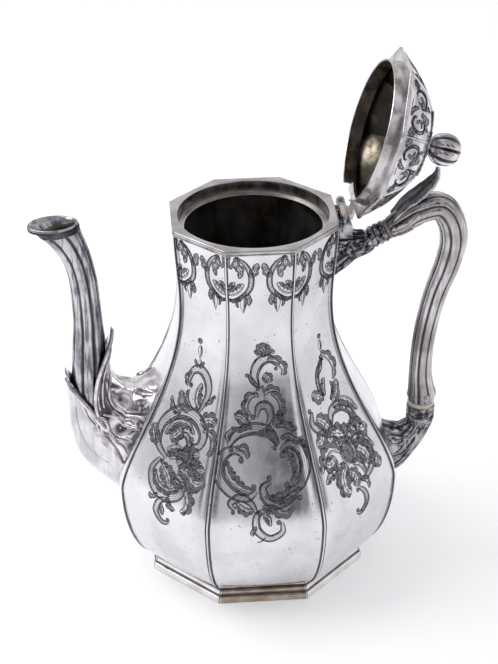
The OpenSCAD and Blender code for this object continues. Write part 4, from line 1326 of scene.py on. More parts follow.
def draw_sunburst(pen: Engraver) -> None:
    """Spray with a shaded flower at its heart, the partner of the bead spray.

    Args:
        pen: the engraver set to its panel.
    """
    pen.knob((3.8, 149.6), 1.3)
    pen.drop((3.6, 147.8), (3.4, 140.4), 2.8)
    pen.leaf([(2.6, 139.4), (6.8, 136.2), (9.4, 130.2), (7.0, 124.4)], 3.4, 4)
    pen.leaf([(3.4, 139.4), (1.2, 133.2), (-3.6, 129.4)], -2.2, 4)
    pen.scroll([(3.0, 137.6), (-2.6, 132.2), (-4.6, 125.2), (-3.4, 119.4)], 2.2, 1.0, 0.6)
    pen.twin([(-3.2, 120.4), (-7.4, 120.6), (-11.0, 123.6)], -3.0, 3)
    pen.leaf([(-1.6, 119.4), (-0.4, 124.0), (1.4, 127.6)], 2.6, 3)
    pen.twin([(2.0, 114.2), (6.6, 118.2), (9.6, 123.6)], 2.6, 3)
    pen.leaf([(0.6, 116.0), (4.2, 120.2), (4.4, 124.4)], -1.8, 3)
    pen.scroll([(-14.8, 115.6), (-17.2, 109.6), (-12.0, 103.6), (-5.4, 99.8)], 3.2, -1.0, 0.9)
    pen.twin([(-13.6, 111.6), (-9.0, 107.4), (-6.8, 101.4)], 3.6, 5)
    pen.scroll([(-5.6, 103.6), (-1.6, 110.4), (6.4, 110.8), (11.8, 105.8), (12.4, 99.0)], 4.4, -1.0, 0.7)
    pen.leaf([(0.6, 112.4), (7.8, 114.2), (14.6, 110.6), (18.6, 104.0)], -4.0, 6)
    pen.leaf([(10.2, 108.6), (14.6, 103.2), (14.4, 96.6), (10.6, 92.0)], -4.2, 6)
    pen.twin([(1.8, 101.6), (4.8, 96.6), (3.4, 91.6)], 3.2, 4)
    pen.twin([(-9.4, 98.6), (-4.6, 100.4), (0.6, 98.4), (4.6, 101.4)], 4.2, 5)
    pen.twin([(5.0, 88.4), (9.6, 86.6), (12.6, 81.6), (10.8, 77.6)], 4.4, 5)
    pen.twin([(5.6, 96.4), (11.0, 97.6), (16.6, 94.6), (19.4, 96.6)], 4.0, 5)
    pen.twin([(-10.6, 90.4), (-15.6, 88.4), (-19.6, 91.4)], 3.4, 4)
    pen.twin([(-4.6, 80.4), (-1.6, 76.4), (-2.6, 71.4)], 3.4, 4)
    pen.twin([(-12.0, 104.6), (-15.4, 100.6), (-19.4, 100.4)], 3.2, 4)
    pen.knob((-1.4, 88.6), 5.2)
    pen.scroll([(-5.4, 92.6), (-1.4, 95.4), (3.6, 92.6), (4.0, 86.8), (-0.6, 83.0)], 3.0, -1.0, 0.5)
    pen.leaf([(-5.6, 90.2), (-11.6, 94.2), (-17.4, 91.4), (-22.6, 86.2)], -4.2, 6)
    pen.leaf([(-6.0, 86.2), (-12.4, 85.8), (-18.6, 84.8), (-23.0, 81.2)], 3.8, 5)
    pen.twin([(-5.0, 84.4), (-10.0, 80.0), (-10.8, 73.6), (-7.6, 70.6)], -4.4, 5)
    pen.leaf([(3.4, 92.4), (10.4, 94.0), (16.4, 90.4), (20.6, 83.6)], -3.6, 5)
    pen.scroll([(8.4, 91.0), (15.4, 86.6), (15.8, 79.4), (9.8, 74.4), (1.8, 72.6)], 3.6, -1.0, 0.8)
    pen.twin([(13.8, 77.6), (18.0, 76.6), (21.0, 73.0)], 3.2, 3)
    pen.leaf([(-0.6, 82.4), (4.4, 79.8), (6.2, 75.0)], 3.4, 4)
    pen.leaf([(1.0, 73.4), (5.4, 70.6), (6.0, 66.4)], 2.4, 3)
    pen.scroll([(-1.8, 70.8), (2.2, 66.2), (2.6, 59.8), (-1.6, 55.8), (-5.8, 57.2)], 3.2, -1.0, 0.8)


PANEL_DESIGNS: dict[int, tuple[Callable[[Engraver], None], float]] = {
    270: (draw_wreath, 1.0),
    90: (draw_wreath, 1.0),
    225: (draw_spray, 1.0),
    315: (draw_sunburst, 1.0),
    135: (draw_sunburst, 1.0),
    45: (draw_spray, 1.0),
}


# ---- foot and rim ----


def eight_ring(radius: float, z: float, cut: float = 0.5) -> Ring:
    """Eight-sided ring with its corners rounded off.

    Args:
        radius: corner radius before rounding.
        z: height.
        cut: length that the rounding takes from each side.

    Returns:
        The ring's points, three at each corner and the others on the side after it.
    """
    count = SIDE_POINTS - 3
    ring = []
    for i in range(SIDES):
        corner = CORNER + 2 * CORNER * i
        here = polar(radius, corner, z)
        back = (polar(radius, corner - 2 * CORNER, z) - here).normalized()
        on = (polar(radius, corner + 2 * CORNER, z) - here).normalized()
        ring += [here + back * cut, here + (back + on) * 0.22 * cut, here + on * cut]
        far = polar(radius, corner + 2 * CORNER, z) - on * cut
        ring += [(here + on * cut).lerp(far, (k + 1) / (count + 1)) for k in range(count)]
    return ring


def blend_ring(eight: float, circle: float, share: float, z: float) -> Ring:
    """Ring between an eight-sided and a round one.

    Args:
        eight: corner radius of the eight-sided one.
        circle: radius of the round one.
        share: 0 for the eight-sided one and 1 for the round one.
        z: height.

    Returns:
        The ring's points.
    """
    ring = []
    for angle in turns(ROUND_POINTS):
        off = (angle + CORNER) % (2 * CORNER) - CORNER
        flat = eight * FLAT / cos(off)
        ring.append(polar(flat + (circle - flat) * share, angle, z))
    return ring


@dataclass
class Foot:
    """Stepped foot ring with rounded edges, painted shade in its steps and a painted reflection on its front
    facet.
    """

    body: PotBody
    out: float = 3.5
    band: float = 4.0
    wall: float = 2.4
    # The front facet that takes the painted reflection.
    painted_reflection_facet: int = 5
    corner_grime: float = 0.24
    # Painted shade in the coves and under-edges of the listed steps.
    step_shade: float = 0.26
    shaded_steps: tuple[int, ...] = (1, 6, 7, 8, 14, 15, 18)

    def build(self) -> None:
        """Builds the foot."""
        r = self.body.seat_r + self.out
        seat = self.body.seat_r
        top = self.body.foot_height
        step = self.band + 0.5 * (top - self.band)
        profile = [
            (r - 0.5, 0.0), (r - 0.12, 0.12), (r, 0.5), (r + 0.02, self.band - 0.9), (r - 0.1, self.band - 0.3),
            (r - 0.5, self.band), (r - 0.95, self.band + 0.12), (r - 1.1, self.band + 0.4),
            (r - 1.2, self.band + 0.9), (r - 1.75, self.band + 2.0), (r - 2.05, step - 1.1),
            (r - 1.95, step - 0.75), (r - 1.65, step - 0.6), (r - 1.55, step - 0.2), (r - 1.8, step + 0.1),
            (seat + 0.55, step + 0.3), (seat + 0.35, step + 0.6), (seat + 0.3, top - 0.3), (seat - 0.1, top),
            (seat - 9.0, top), (seat - 9.0, top - 1.2), (seat - self.wall, top - 1.2),
            (seat - self.wall, self.band + 0.4), (r - self.wall, self.band - 0.6), (r - self.wall, 0.3),
            (r - self.wall + 0.4, 0.0),
        ]
        skin = Skin()
        # Points of the front facet take the painted reflection finish.
        skin.loft([eight_ring(radius, z, 0.7) for radius, z in profile], loop=True,
                  slot=lambda _, j: 1 if j // SIDE_POINTS == self.painted_reflection_facet and j % SIDE_POINTS > 1 else 0,
                  grime_and_shade=self._corner_grime_and_step_shade)
        skin.make("foot_moulding", Body.POT, [FOOT_SILVER, FOOT_PAINTED_REFLECTION], Slot.WORN, ["foot_ring"], sharp=50.0)

    def _corner_grime_and_step_shade(self, ring: int, point: int) -> float:
        """Grime in the mitred corners and painted shade in the coves and under-edges of the steps, by the
        numbers of a ring and a point.
        """
        corner = self.corner_grime if point % SIDE_POINTS == 1 else 0.0
        return max(corner, self.step_shade if ring in self.shaded_steps else 0.0)


@dataclass
class Rim:
    """Moulded band round the mouth and the round seat for the lid."""

    body: PotBody
    band_h: float = 2.3
    band_t: float = 0.7
    collar_r: float = 39.6
    collar_wall: float = 0.9
    collar_depth: float = 6.8
    mouth_r: float = 36.2
    wall_rows: tuple[int, int] = (6, 9)
    under_row: int = 13

    def build(self) -> None:
        """Builds the band and the seat."""
        top = self.body.rim_height
        plate = top - self.collar_wall
        low = plate - self.band_h
        r = self.body.rim_r
        profile = [
            (0.05, low), (0.3, low + 0.08), (0.5, low + 0.3), (0.45, low + 0.62), (0.2, low + 0.8),
            (0.2, low + 1.0), (0.5, low + 1.2), (0.68, plate - 0.8), (0.72, plate - 0.4), (0.7, plate - 0.1),
            (0.02, plate - 0.05),
        ]
        skin = Skin()
        skin.loft([eight_ring(self.body.radius(z) + d / FLAT, z, 0.35) for d, z in profile], loop=True)
        skin.make("rim_band", Body.POT, [LEDGE], Slot.POLISHED, ["rim_moulding"])
        self._seat(top, plate, r + self.band_t / FLAT)

    def _seat(self, top: float, plate: float, outer: float) -> None:
        """Builds the flat top, the round collar and the ledge in it.

        Args:
            top: height of the rim.
            plate: height of the flat top's underside.
            outer: corner radius of the flat top.
        """
        c = self.collar_r
        m = self.mouth_r
        ledge = top - self.collar_depth
        wall = self.collar_wall
        profile = [
            (outer, c, 0.0, plate), (outer, c, 0.0, top - 0.35), (outer - 0.25, c, 0.0, top - 0.05),
            (outer - 0.7, c, 0.0, top), (outer, c + 1.2, 0.8, top), (outer, c + 0.45, 1.0, top),
            (outer, c + 0.12, 1.0, top - 0.12), (outer, c, 1.0, top - 0.5), (outer, c, 1.0, top - 3.4),
            (outer, c, 1.0, ledge + 0.8), (outer, c - 0.25, 1.0, ledge + 0.2), (outer, c - 0.8, 1.0, ledge),
            (outer, m + 0.6, 1.0, ledge), (outer, m + 0.1, 1.0, ledge - 0.15), (outer, m, 1.0, ledge - 0.5),
            (outer, m + 0.2, 1.0, ledge - wall), (outer, c + wall, 1.0, ledge - wall),
            (outer, c + wall, 1.0, plate - 0.05), (outer - 1.0, c, 0.1, plate - 0.05),
        ]
        skin = Skin()
        skin.loft([blend_ring(*row) for row in profile], loop=True,
                  slot=lambda i, _: int(self.wall_rows[0] <= i <= self.wall_rows[1] or i >= self.under_row))
        skin.make("lid_seat", Body.POT, [RIM_TOP, COLLAR], Slot.WORN, ["lid_seat_collar"], sharp=50.0)


# ---- spout ----


@dataclass
class Spout:
    """Cast spout with reeded facets, an oval lip and a leaf calyx round its root."""

    body: PotBody
    out: float = 7.7
    depth: float = 14.8
    width: float = 15.2
    root_rise: float = 19.0
    root_h: float = 66.0
    root_w: float = 45.0
    drop: float = 2.0
    lip_l: float = 26.6
    lip_w: float = 19.4
    lip_throw: float = 15.0
    lip_h: float = 4.6
    wall: float = 1.5
    calyx_t: float = 1.6
    tip_curl: float = 3.0
    root_square: float = 0.72
    notch: float = 1.3
    notch_at: float = 97.0
    front_reach: float = 4.0
    front_half: float = 82.0
    back_reach: float = 4.85
    around: int = 144
    tube_rings: int = 72
    bore_rings: int = 26
    lip_rings: int = 36
    lip_bore: int = 34
    lip_neck: int = 15
    calyx_rings: int = 56
    rows: list[tuple[float, ...]] = field(init=False)

    def __post_init__(self) -> None:
        """Works out the sections from root to lip."""
        self.upright = -(self.body.belly_r + self.out)
        self.root_z = self.body.belly_height + self.root_rise
        self.top = self.body.rim_height - self.drop
        x = self.upright
        z = self.root_z
        rise = self.top - z
        d = self.depth / 2
        w = self.width / 2
        self.rows = [
            (x + 11.8, z + 0.010 * rise, 68, 0.445 * self.root_h, 0.41 * self.root_w),
            (x + 4.6, z + 0.058 * rise, 61, 0.385 * self.root_h, 0.34 * self.root_w),
            (x + 0.3, z + 0.137 * rise, 52, 0.305 * self.root_h, 0.275 * self.root_w),
            (x - 0.9, z + 0.242 * rise, 40, 1.95 * d, 1.38 * w),
            (x - 0.4, z + 0.368 * rise, 24, 1.38 * d, 1.18 * w),
            (x + 0.2, z + 0.525 * rise, 3, 1.06 * d, 1.05 * w),
            (x - 0.2, z + 0.636 * rise, 2, d, w),
            (x - 1.2, z + 0.742 * rise, 8, 0.98 * d, 0.96 * w),
            (x - 3.6, z + 0.838 * rise, 13, d, 0.95 * w),
            (x - 0.53 * self.lip_throw, z + 0.918 * rise, 13, 0.66 * self.lip_l / 2, 0.78 * self.lip_w / 2),
            (x - self.lip_throw + 3, self.top - self.lip_h, 8, 0.82 * self.lip_l / 2, 0.88 * self.lip_w / 2),
        ]

    def _root(self, a: float, off: float) -> Vector:
        """Point of the root's outline on the body's panel.

        Args:
            a: angle round it in radians.
            off: distance off the outline.

        Returns:
            The point in the part's frame.
        """
        side = copysign(abs(sin(a)) ** self.root_square, sin(a))
        up = copysign(abs(cos(a)) ** self.root_square, cos(a))
        y = (self.root_w / 2 + off) * side
        z = self.root_z - (self.root_h / 2 + off) * up
        spot = self.body.panel(pi, -y, z)
        return spot + Vector((-0.02, 0.0, 0.0))

    def point(self, s: float, a: float, off: float) -> Vector:
        """Point on the spout.

        Args:
            s: row index along it; -1 is on the body's panel.
            a: angle round it in radians, 0 in front.
            off: distance off the tube.

        Returns:
            The point in the part's frame.
        """
        x, z, tilt, half, side = curve_at(self.rows, max(s, 0.0))
        lean = radians(tilt)
        half += off
        side += off
        spot = Vector((x - half * cos(a) * cos(lean), side * sin(a),
                       z - half * cos(a) * sin(lean)))
        return spot if s >= 0 else spot * (1 + s) - self._root(a, off) * s

    @staticmethod
    def _reed(s: float, a: float) -> float:
        """Cushioned facets with a dark groove between them.

        Args:
            s: row index along the spout.
            a: angle round it in radians.

        Returns:
            The height there.
        """
        strength = max(0.0, min(1.0, s - 2.2))
        wave = abs(sin(4 * a))
        return strength * (0.3 * (1 - wave ** 2) - 0.6 * wave ** 14)

    def build(self) -> None:
        """Builds the tube, the lip and the calyx."""
        last = len(self.rows) - 1
        angles = turns(self.around)
        outer_s = [-1 + (last + 1) * t for t in spread(self.tube_rings)]
        inner_s = [last - (last + 1) * t for t in spread(self.bore_rings)]
        outer = [[self.point(s, a, self._reed(s, a) + self._tuck(s)) for a in angles] for s in outer_s]
        inner = [[self.point(s, a, self._tuck(s) - self.wall) for a in angles] for s in inner_s]
        skin = Skin()
        skin.loft(
            outer + inner, loop=True, slot=lambda i, _: 0 if i < self.tube_rings else 1,
            grime_and_shade=lambda i, j: 0.2 * abs(sin(4 * angles[j])) ** 16 + 0.03 if 20 < i < self.tube_rings else 0.0,
        )
        skin.make("spout_reeded_tube", Body.POT, [CAST, INTERIOR], Slot.CAST, ["spout_tube"])
        self._lip()
        self._calyx(angles)

    def _tuck(self, s: float) -> float:
        """How far the tube draws in under the calyx at a row index."""
        return -self.calyx_t * max(0.0, min(1.0, 4 - s))

    def _lip_ring(self, length: float, width: float, x: float, z: float) -> Ring:
        """Oval ring of the lip.

        Args:
            length: length along the pot.
            width: width across the pot.
            x: place of its middle.
            z: height of its middle.

        Returns:
            The ring, which leans less the higher it is.
        """
        f = (self.top - z) / self.lip_h
        lean = radians(self.rows[-1][2])
        ring = []
        for a in turns(self.around):
            reach = length / 2 * cos(a)
            ring.append(Vector((x - reach * (1 - f * (1 - cos(lean))), width / 2 * sin(a),
                                z - reach * sin(lean) * f - 0.6 * cos(a) * (1 - f))))
        return ring

    def _lip(self) -> None:
        """Builds the flared lip."""
        x0, low, _, half, side = self.rows[-1]
        x1 = self.upright - self.lip_throw
        rows = [
            (2 * half, 2 * side, x0, low + 0.02),
            (0.93 * self.lip_l, 0.94 * self.lip_w, (x0 + x1) / 2, low + 0.6 * self.lip_h),
            (self.lip_l - 0.5, self.lip_w - 0.5, x1, self.top - 1.7),
            (self.lip_l, self.lip_w, x1, self.top - 1.0),
            (self.lip_l, self.lip_w, x1, self.top - 0.2),
            (self.lip_l - 0.9, self.lip_w - 0.9, x1, self.top + 0.42),
            (self.lip_l - 2.2, self.lip_w - 2.2, x1, self.top + 0.4),
            (self.lip_l - 4.4, self.lip_w - 3.8, x1 + 0.4, self.top - 0.3),
            (self.lip_l - 8.4, self.lip_w - 6.6, x1 + 1.9, self.top - 1.7),
            (1.5 * (half - self.wall), 1.5 * (side - self.wall), x0 + 0.4, low + 0.02),
        ]
        fine = [curve_at(rows, (len(rows) - 1) * t) for t in spread(self.lip_rings)]
        skin = Skin()
        # Painted shade under the flare: the lip's lower rings are darkened.
        skin.loft([self._lip_ring(*row) for row in fine], loop=True, slot=lambda i, _: int(i >= self.lip_bore),
                  grime_and_shade=lambda i, _: 0.14 if i < self.lip_neck else 0.0)
        skin.make("spout_mouth", Body.POT, [LIP, INTERIOR], Slot.CAST, ["spout_lip"], sharp=50.0)

    def _reach(self, a: float) -> float:
        """How far the calyx runs along the spout; each side has a notch.

        Args:
            a: angle round it in radians.

        Returns:
            The row index of its edge.
        """
        past = abs((degrees(a) + 180) % 360 - 180) - self.notch_at
        span, tall = (self.notch_at, self.front_reach) if past < 0 else (180 - self.notch_at, self.back_reach)
        return self.notch + (tall - self.notch) * (abs(past) / span) ** 0.42

    def calyx_point(self, f: float, a: float, off: float) -> Vector:
        """Point of the calyx at a share of its reach."""
        s = -1 + f * (1 + self._reach(a))
        return self.point(s, a, off + self.tip_curl * f ** 4 * abs(cos(a)) ** 4 + self._tuck(s))

    def _calyx(self, angles: Sequence[float]) -> None:
        """Builds the calyx with its veins, edge ribs, shells and knobs.

        Args:
            angles: angles round the spout.
        """
        skin = Skin()
        rings = self.calyx_rings

        def place(f: float, a: float) -> tuple[float, float]:
            """Row along the spout and degrees from its front, for a point of the calyx."""
            return -1 + f * (1 + self._reach(a)), abs((degrees(a) + 180) % 360 - 180)

        def blot(s: float, d: float, at: Flat, size: Flat) -> float:
            """Rounded patch in rows and degrees."""
            return exp(-((s - at[0]) / size[0]) ** 2 - ((d - at[1]) / size[1]) ** 2)

        def relief(f: float, a: float) -> float:
            """Height of the calyx's own relief.

            Args:
                f: share of its reach.
                a: angle round the spout in radians.

            Returns:
                The height there.
            """
            s, d = place(f, a)
            groove = -0.7 * exp(-(((d - 45 - 6.5 * (2.6 - s)) / 3.0) ** 2)) * (1 if s < 2.8 else 0)
            cushion = 2.6 * blot(s, d, (0.7, 160), (1.7, 24))
            trough = -1.5 * blot(s, d, (0.5, 128 - 3 * (0.5 - s)), (1.5, 4.5))
            pocket = -1.8 * blot(s, d, (0.1, 110), (0.45, 7)) + 1.2 * blot(s, d, (-0.6, 104), (0.5, 8))
            return groove + cushion + trough + pocket

        def dirt_and_shade(i: int, j: int) -> float:
            """Painted shade: darker hollows, dark spots and a dark band along each side.

            Args:
                i: number of the ring.
                j: number of the point round it.

            Returns:
                The painted shade there.
            """
            if i > rings:
                return 0.0
            s, d = place(i / rings, angles[j])
            lean = 112 + 13 * max(0.0, s - 1.7)
            band = 0.9 * exp(-(((d - lean) / 13) ** 2)) if 1.0 < s < 4.4 else 0.0
            dark = (blot(s, d, (0.5, 128 - 3 * (0.5 - s)), (1.6, 3.6)) + blot(s, d, (0.1, 110), (0.4, 6))
                    + 0.8 * blot(s, d, (-0.9, 97), (0.3, 8)) + 0.7 * blot(s, d, (0.92, 142), (0.22, 4))
                    + 0.6 * blot(s, d, (-0.35, 144), (0.3, 3)))
            return 0.2 * min(1.3, band) + 0.26 * min(1.2, dark)

        outer = [[self.calyx_point(f, a, self.calyx_t + relief(f, a)) for a in angles] for f in spread(rings)]
        inner = [[self.calyx_point(f, a, 0.02 + 0.4 * self.calyx_t * f ** 6) for a in angles]
                 for f in reversed(spread(rings))]
        skin.loft(outer + inner, loop=True, grime_and_shade=dirt_and_shade,
                  slot=lambda _, j: 1 if place(0.0, angles[j])[1] < self.front_half else 0)
        work = Relief(skin, Loft(outer), self._middle, 0.11)
        for side in (1, -1):
            def at(row: float, off: float, way: int = side) -> Flat:
                """Shares of the calyx from a row along the spout and degrees off its front."""
                return min(0.985, (row + 1) / (1 + self._reach(radians(way * off)))), way * off / 360

            def ribs(radius: float, *spots: Flat, taper: float = 0.5) -> None:
                """Rib through spots given as rows and degrees."""
                work.rib([at(*spot) for spot in spots], radius, lift=0.15, taper=taper, steps=40)

            ribs(1.5, (3.9, 12), (3.5, 50), (2.95, 76), (2.2, 90), (1.3, 96), taper=0.6)
            ribs(0.7, (3.5, 30), (3.0, 58), (2.4, 74), (1.6, 86), (1.0, 90))
            ribs(1.4, (4.7, 176), (4.25, 130), (3.4, 108), (2.6, 101), (1.7, 99), taper=0.6)
            ribs(0.8, (4.3, 156), (3.4, 124), (2.6, 111), (1.8, 107))
            ribs(0.7, (4.1, 170), (3.3, 141), (2.5, 124), (1.7, 115))
            ribs(1.1, (2.8, 160), (2.0, 138), (1.2, 131), (0.4, 130), (-0.5, 123), (-0.95, 118))
            ribs(1.0, (1.5, 108), (0.8, 118), (0.2, 117), (-0.5, 110), (-0.95, 106))
            ribs(1.2, (1.1, 97), (0.3, 88), (-0.4, 84), (-0.95, 81))
            ribs(0.9, (0.9, 103), (0.2, 95), (-0.4, 91), (-0.95, 88))
            ribs(1.1, (1.16, 88), (1.55, 93), (1.5, 101), (1.16, 106), (0.8, 102), (0.75, 94), (1.1, 89),
                 taper=0.8)
            ribs(1.4, (1.3, 97), (1.1, 97), (0.95, 98), taper=0.9)
            work.leaf([at(-0.2, 160), at(-0.6, 154), at(-0.95, 150)], 8.0, 1.4, 3)
            work.leaf([at(0.1, 118), at(-0.4, 112), at(-0.9, 106)], 5.5, 1.6, 3)
            work.leaf([at(0.2, 100), at(-0.4, 98), at(-0.95, 94)], 4.5, 1.4, 3)
        skin.make("spout_calyx", Body.POT, [CALYX, CALYX_FRONT], Slot.CAST, ["spout_sheath"])

    def _middle(self, along: float) -> Vector:
        """Point on the spout's middle line, by the share along the calyx."""
        x, z, *_ = curve_at(self.rows, max(0.0, -1 + 4.5 * along))
        return Vector((x + (18.0 if along < 0.2 else 0.0), 0.0, z))


# ---- handle ----


@dataclass
class Handle:
    """Hollow cast handle with sockets, ribbed ferrules, bone washers and a curled leaf."""

    body: PotBody
    reach_out: float = 25.1
    grip_d: float = 13.0
    grip_w: float = 14.4
    grip_wall: float = 1.8
    upper_drop: float = 15.2
    upper_out: float = 20.0
    slope: float = radians(27.0)
    lower_rise: float = 21.9
    lower_out: float = 12.3
    upper_root_drop: float = 24.6
    upper_root_h: float = 30.0
    upper_root_w: float = 24.0
    lower_root_drop: float = 1.0
    lower_root_h: float = 34.0
    lower_root_w: float = 22.0
    upper_ferrule_r: float = 6.0
    lower_ferrule_r: float = 8.0
    ferrule_l: float = 9.6
    groove: float = 0.9
    washer_t: float = 2.4
    tenon_r: float = 2.8
    leaf_t: float = 3.8
    leaf_w: float = 17.0
    leaf_rise: float = 21.6
    leaf_in: float = 10.6
    around: int = 96
    grip_rings: int = 110
    bore_rings: int = 24
    leaf_rings: int = 56
    leaf_around: int = 48
    socket_rings: int = 48
    joint_around: int = 72

    def __post_init__(self) -> None:
        """Works out the joints and the sections of the grip."""
        self.reach = self.body.belly_r + self.reach_out
        self.top = self.body.rim_height
        self.upper = Vector((self.body.rim_r + self.upper_out, 0.0, self.body.rim_height - self.upper_drop))
        self.lower = Vector((self.body.belly_r + self.lower_out, 0.0, self.body.belly_height + self.lower_rise))
        self.up_way = Vector((cos(self.slope), 0.0, sin(self.slope)))
        end = self.ferrule_l / 2 + self.washer_t
        self.upper_end = self.upper + self.up_way * end
        self.lower_end = self.lower + Vector((0.0, 0.0, end))
        fall = self.top - self.lower_end.z
        run = self.reach - self.upper_end.x
        h = self.grip_d / 2
        b = self.grip_w / 2
        x0 = self.upper_end.x
        x1 = self.lower_end.x
        self.rows = [
            (x0, self.upper_end.z, 0.86 * h, 0.9 * b), (x0 + 0.24 * run, self.top - 6.0, 1.02 * h, 1.04 * b),
            (x0 + 0.5 * run, self.top - 1.4, 1.12 * h, 1.14 * b),
            (x0 + 0.76 * run, self.top - 0.4, 1.16 * h, 1.16 * b),
            (self.reach - 2.2, self.top - 0.07 * fall, 1.16 * h, 1.12 * b),
            (self.reach, self.top - 0.17 * fall, 1.16 * h, 1.1 * b),
            (self.reach - 2.6, self.top - 0.29 * fall, 1.1 * h, 1.06 * b),
            (self.reach - 7.6, self.top - 0.42 * fall, 1.03 * h, b),
            (x1 + 1.6, self.top - 0.56 * fall, 0.98 * h, 0.96 * b),
            (x1 - 0.6, self.top - 0.70 * fall, 0.96 * h, 0.94 * b),
            (x1 - 1.2, self.top - 0.84 * fall, 0.98 * h, 0.94 * b),
            (x1 - 0.3, self.top - 0.925 * fall, 1.13 * h, 1.06 * b),
            (x1 + 0.2, self.top - 0.965 * fall, 1.27 * h, 1.18 * b),
            (x1, self.lower_end.z, 1.1 * h, 1.02 * b),
        ]

    def _section(self, x: float, z: float, way: Flat, h: float, b: float,
                 grow: Callable[[float], float] | None = None) -> Ring:
        """Oval ring square to a direction.

        Args:
            x: place of its middle.
            z: height of its middle.
            way: unit direction that it faces.
            h: half its height.
            b: half its width.
            grow: growth at an angle round it.

        Returns:
            The ring's points.
        """
        ring = []
        for turn in turns(self.around):
            more = grow(turn) if grow else 0.0
            ring.append(Vector((x - way[1] * (h + more) * cos(turn), (b + more) * sin(turn),
                                z + way[0] * (h + more) * cos(turn))))
        return ring

    def _grip_ring(self, share: float, grow: Callable[[float], float]) -> Ring:
        """Ring of the grip.

        Args:
            share: share of its length.
            grow: growth at an angle round it.

        Returns:
            The ring's points.
        """
        s = (len(self.rows) - 1) * share
        x, z, h, b = curve_at(self.rows, s)
        way = heading(self.rows, s, (cos(self.slope), sin(self.slope)), (0.0, -1.0))
        return self._section(x, z, way, h, b, grow)

    def build(self) -> None:
        """Builds every piece of the handle."""
        self._grip()
        self._leaf()
        self._joint("upper", self.upper, self.up_way, self.upper_ferrule_r, 0.9, SHADED_BONE)
        self._joint("lower", self.lower, Vector((0.0, 0.0, 1.0)), self.lower_ferrule_r, 0.93, BONE)
        self._sockets()

    def _grip(self) -> None:
        """Builds the grip with its long facets and the leaf at its upper end."""
        steps = self.grip_rings

        def facet(turn: float) -> float:
            """Cushioned facets with a groove between them."""
            wave = abs(sin(4 * turn))
            return 0.05 - 0.35 * wave ** 2 - 0.6 * wave ** 14

        outer = [self._grip_ring(t, facet) for t in spread(steps)]
        inner = [self._grip_ring(1 - t, lambda _: -self.grip_wall) for t in spread(self.bore_rings)]
        skin = Skin()
        # Patina in the grooves between facets, and painted shade on the rings next to the upper joint.
        skin.loft(outer + inner, loop=True,
                  grime_and_shade=lambda i, j: (0.2 * abs(sin(8 * pi * j / self.around)) ** 14
                                      + 0.1 * max(0.0, 1 - i / 16)) if i <= steps else 0.0)
        work = Relief(skin, Loft(outer), lambda u: Vector((*self._line(u)[:1], 0.0, self._line(u)[1])))
        for side in (1, -1):
            work.leaf([(0.005, side * 0.22), (0.06, side * 0.27), (0.13, side * 0.20)], 6.0, 1.1, 3, 0.6)
            work.rib([(0.01, side * 0.33), (0.05, side * 0.40), (0.085, side * 0.34), (0.06, side * 0.29)], 0.9)
            work.leaf([(0.99, side * 0.18), (0.94, side * 0.2), (0.88, side * 0.24)], 6.0, 1.0, 3)
        work.leaf([(0.005, 0.5), (0.06, 0.5), (0.14, 0.5)], 7.0, 1.1, 3, 0.8)
        skin.make("grip", Body.POT, [GRIP], Slot.CAST, ["handle_grip"])

    def _line(self, along: float) -> list[float]:
        """Centre line of the grip at a share along it."""
        return curve_at(self.rows, (len(self.rows) - 1) * min(1.0, max(0.0, along)))

    def _leaf(self) -> None:
        """Builds the channelled leaf that rises from the handle, with rolled edges."""
        base = self.upper_end
        tip = self.reach - self.leaf_in
        run = tip - base.x
        t = self.leaf_t
        w = self.leaf_w
        rows = [
            (base.x + 1, base.z + 0.43 * self.grip_d + 0.9, t / 2, 0.36 * w),
            (base.x + 0.30 * run, self.top + 0.09 * self.leaf_rise, t / 2, 0.47 * w),
            (base.x + 0.56 * run, self.top + 0.31 * self.leaf_rise, 0.62 * t, 0.5 * w),
            (base.x + 0.80 * run, self.top + 0.54 * self.leaf_rise, 0.62 * t, 0.44 * w),
            (tip - 0.6, self.top + 0.78 * self.leaf_rise, t / 2, 0.3 * w),
            (tip, self.top + self.leaf_rise, 0.36 * t, 0.12 * w),
        ]
        rings = []
        for share in spread(self.leaf_rings):
            s = (len(rows) - 1) * share
            x, z, h, b = curve_at(rows, s)
            ux, uz = heading(rows, s, (0.77, 0.64), (0.0, 1.0))
            scallop = 1 - 0.07 * abs(sin(pi * 6 * share))
            ring = []
            for turn in turns(self.leaf_around):
                across = sin(turn)
                lift = h * cos(turn)
                if cos(turn) > 0:
                    lift *= 0.25 + 1.0 * abs(across) ** 3 + 0.3 * exp(-(across / 0.12) ** 2)
                ring.append(Vector((x - uz * lift, b * scallop * across, z + ux * lift)))
            rings.append(ring)
        skin = Skin()
        skin.loft(rings, grime_and_shade=lambda _, j: 0.16 if cos(tau * j / self.leaf_around) > 0.5 else 0.0)
        skin.make("thumb_leaf", Body.POT, [CAST], Slot.CAST, ["handle_leaf"])

    def _turned(self, profile: Sequence[Flat], centre: Vector, axis: Vector) -> list[Ring]:
        """Turns a profile about an axis.

        Args:
            profile: its radii and heights.
            centre: where the heights start.
            axis: direction of the heights.

        Returns:
            The rings in the profile's order.
        """
        side = Vector((0.0, 1.0, 0.0))
        other = axis.cross(side).normalized()
        return [
            [centre + axis * z + (side * cos(a) + other * sin(a)) * r for a in turns(self.joint_around)]
            for r, z in profile
        ]

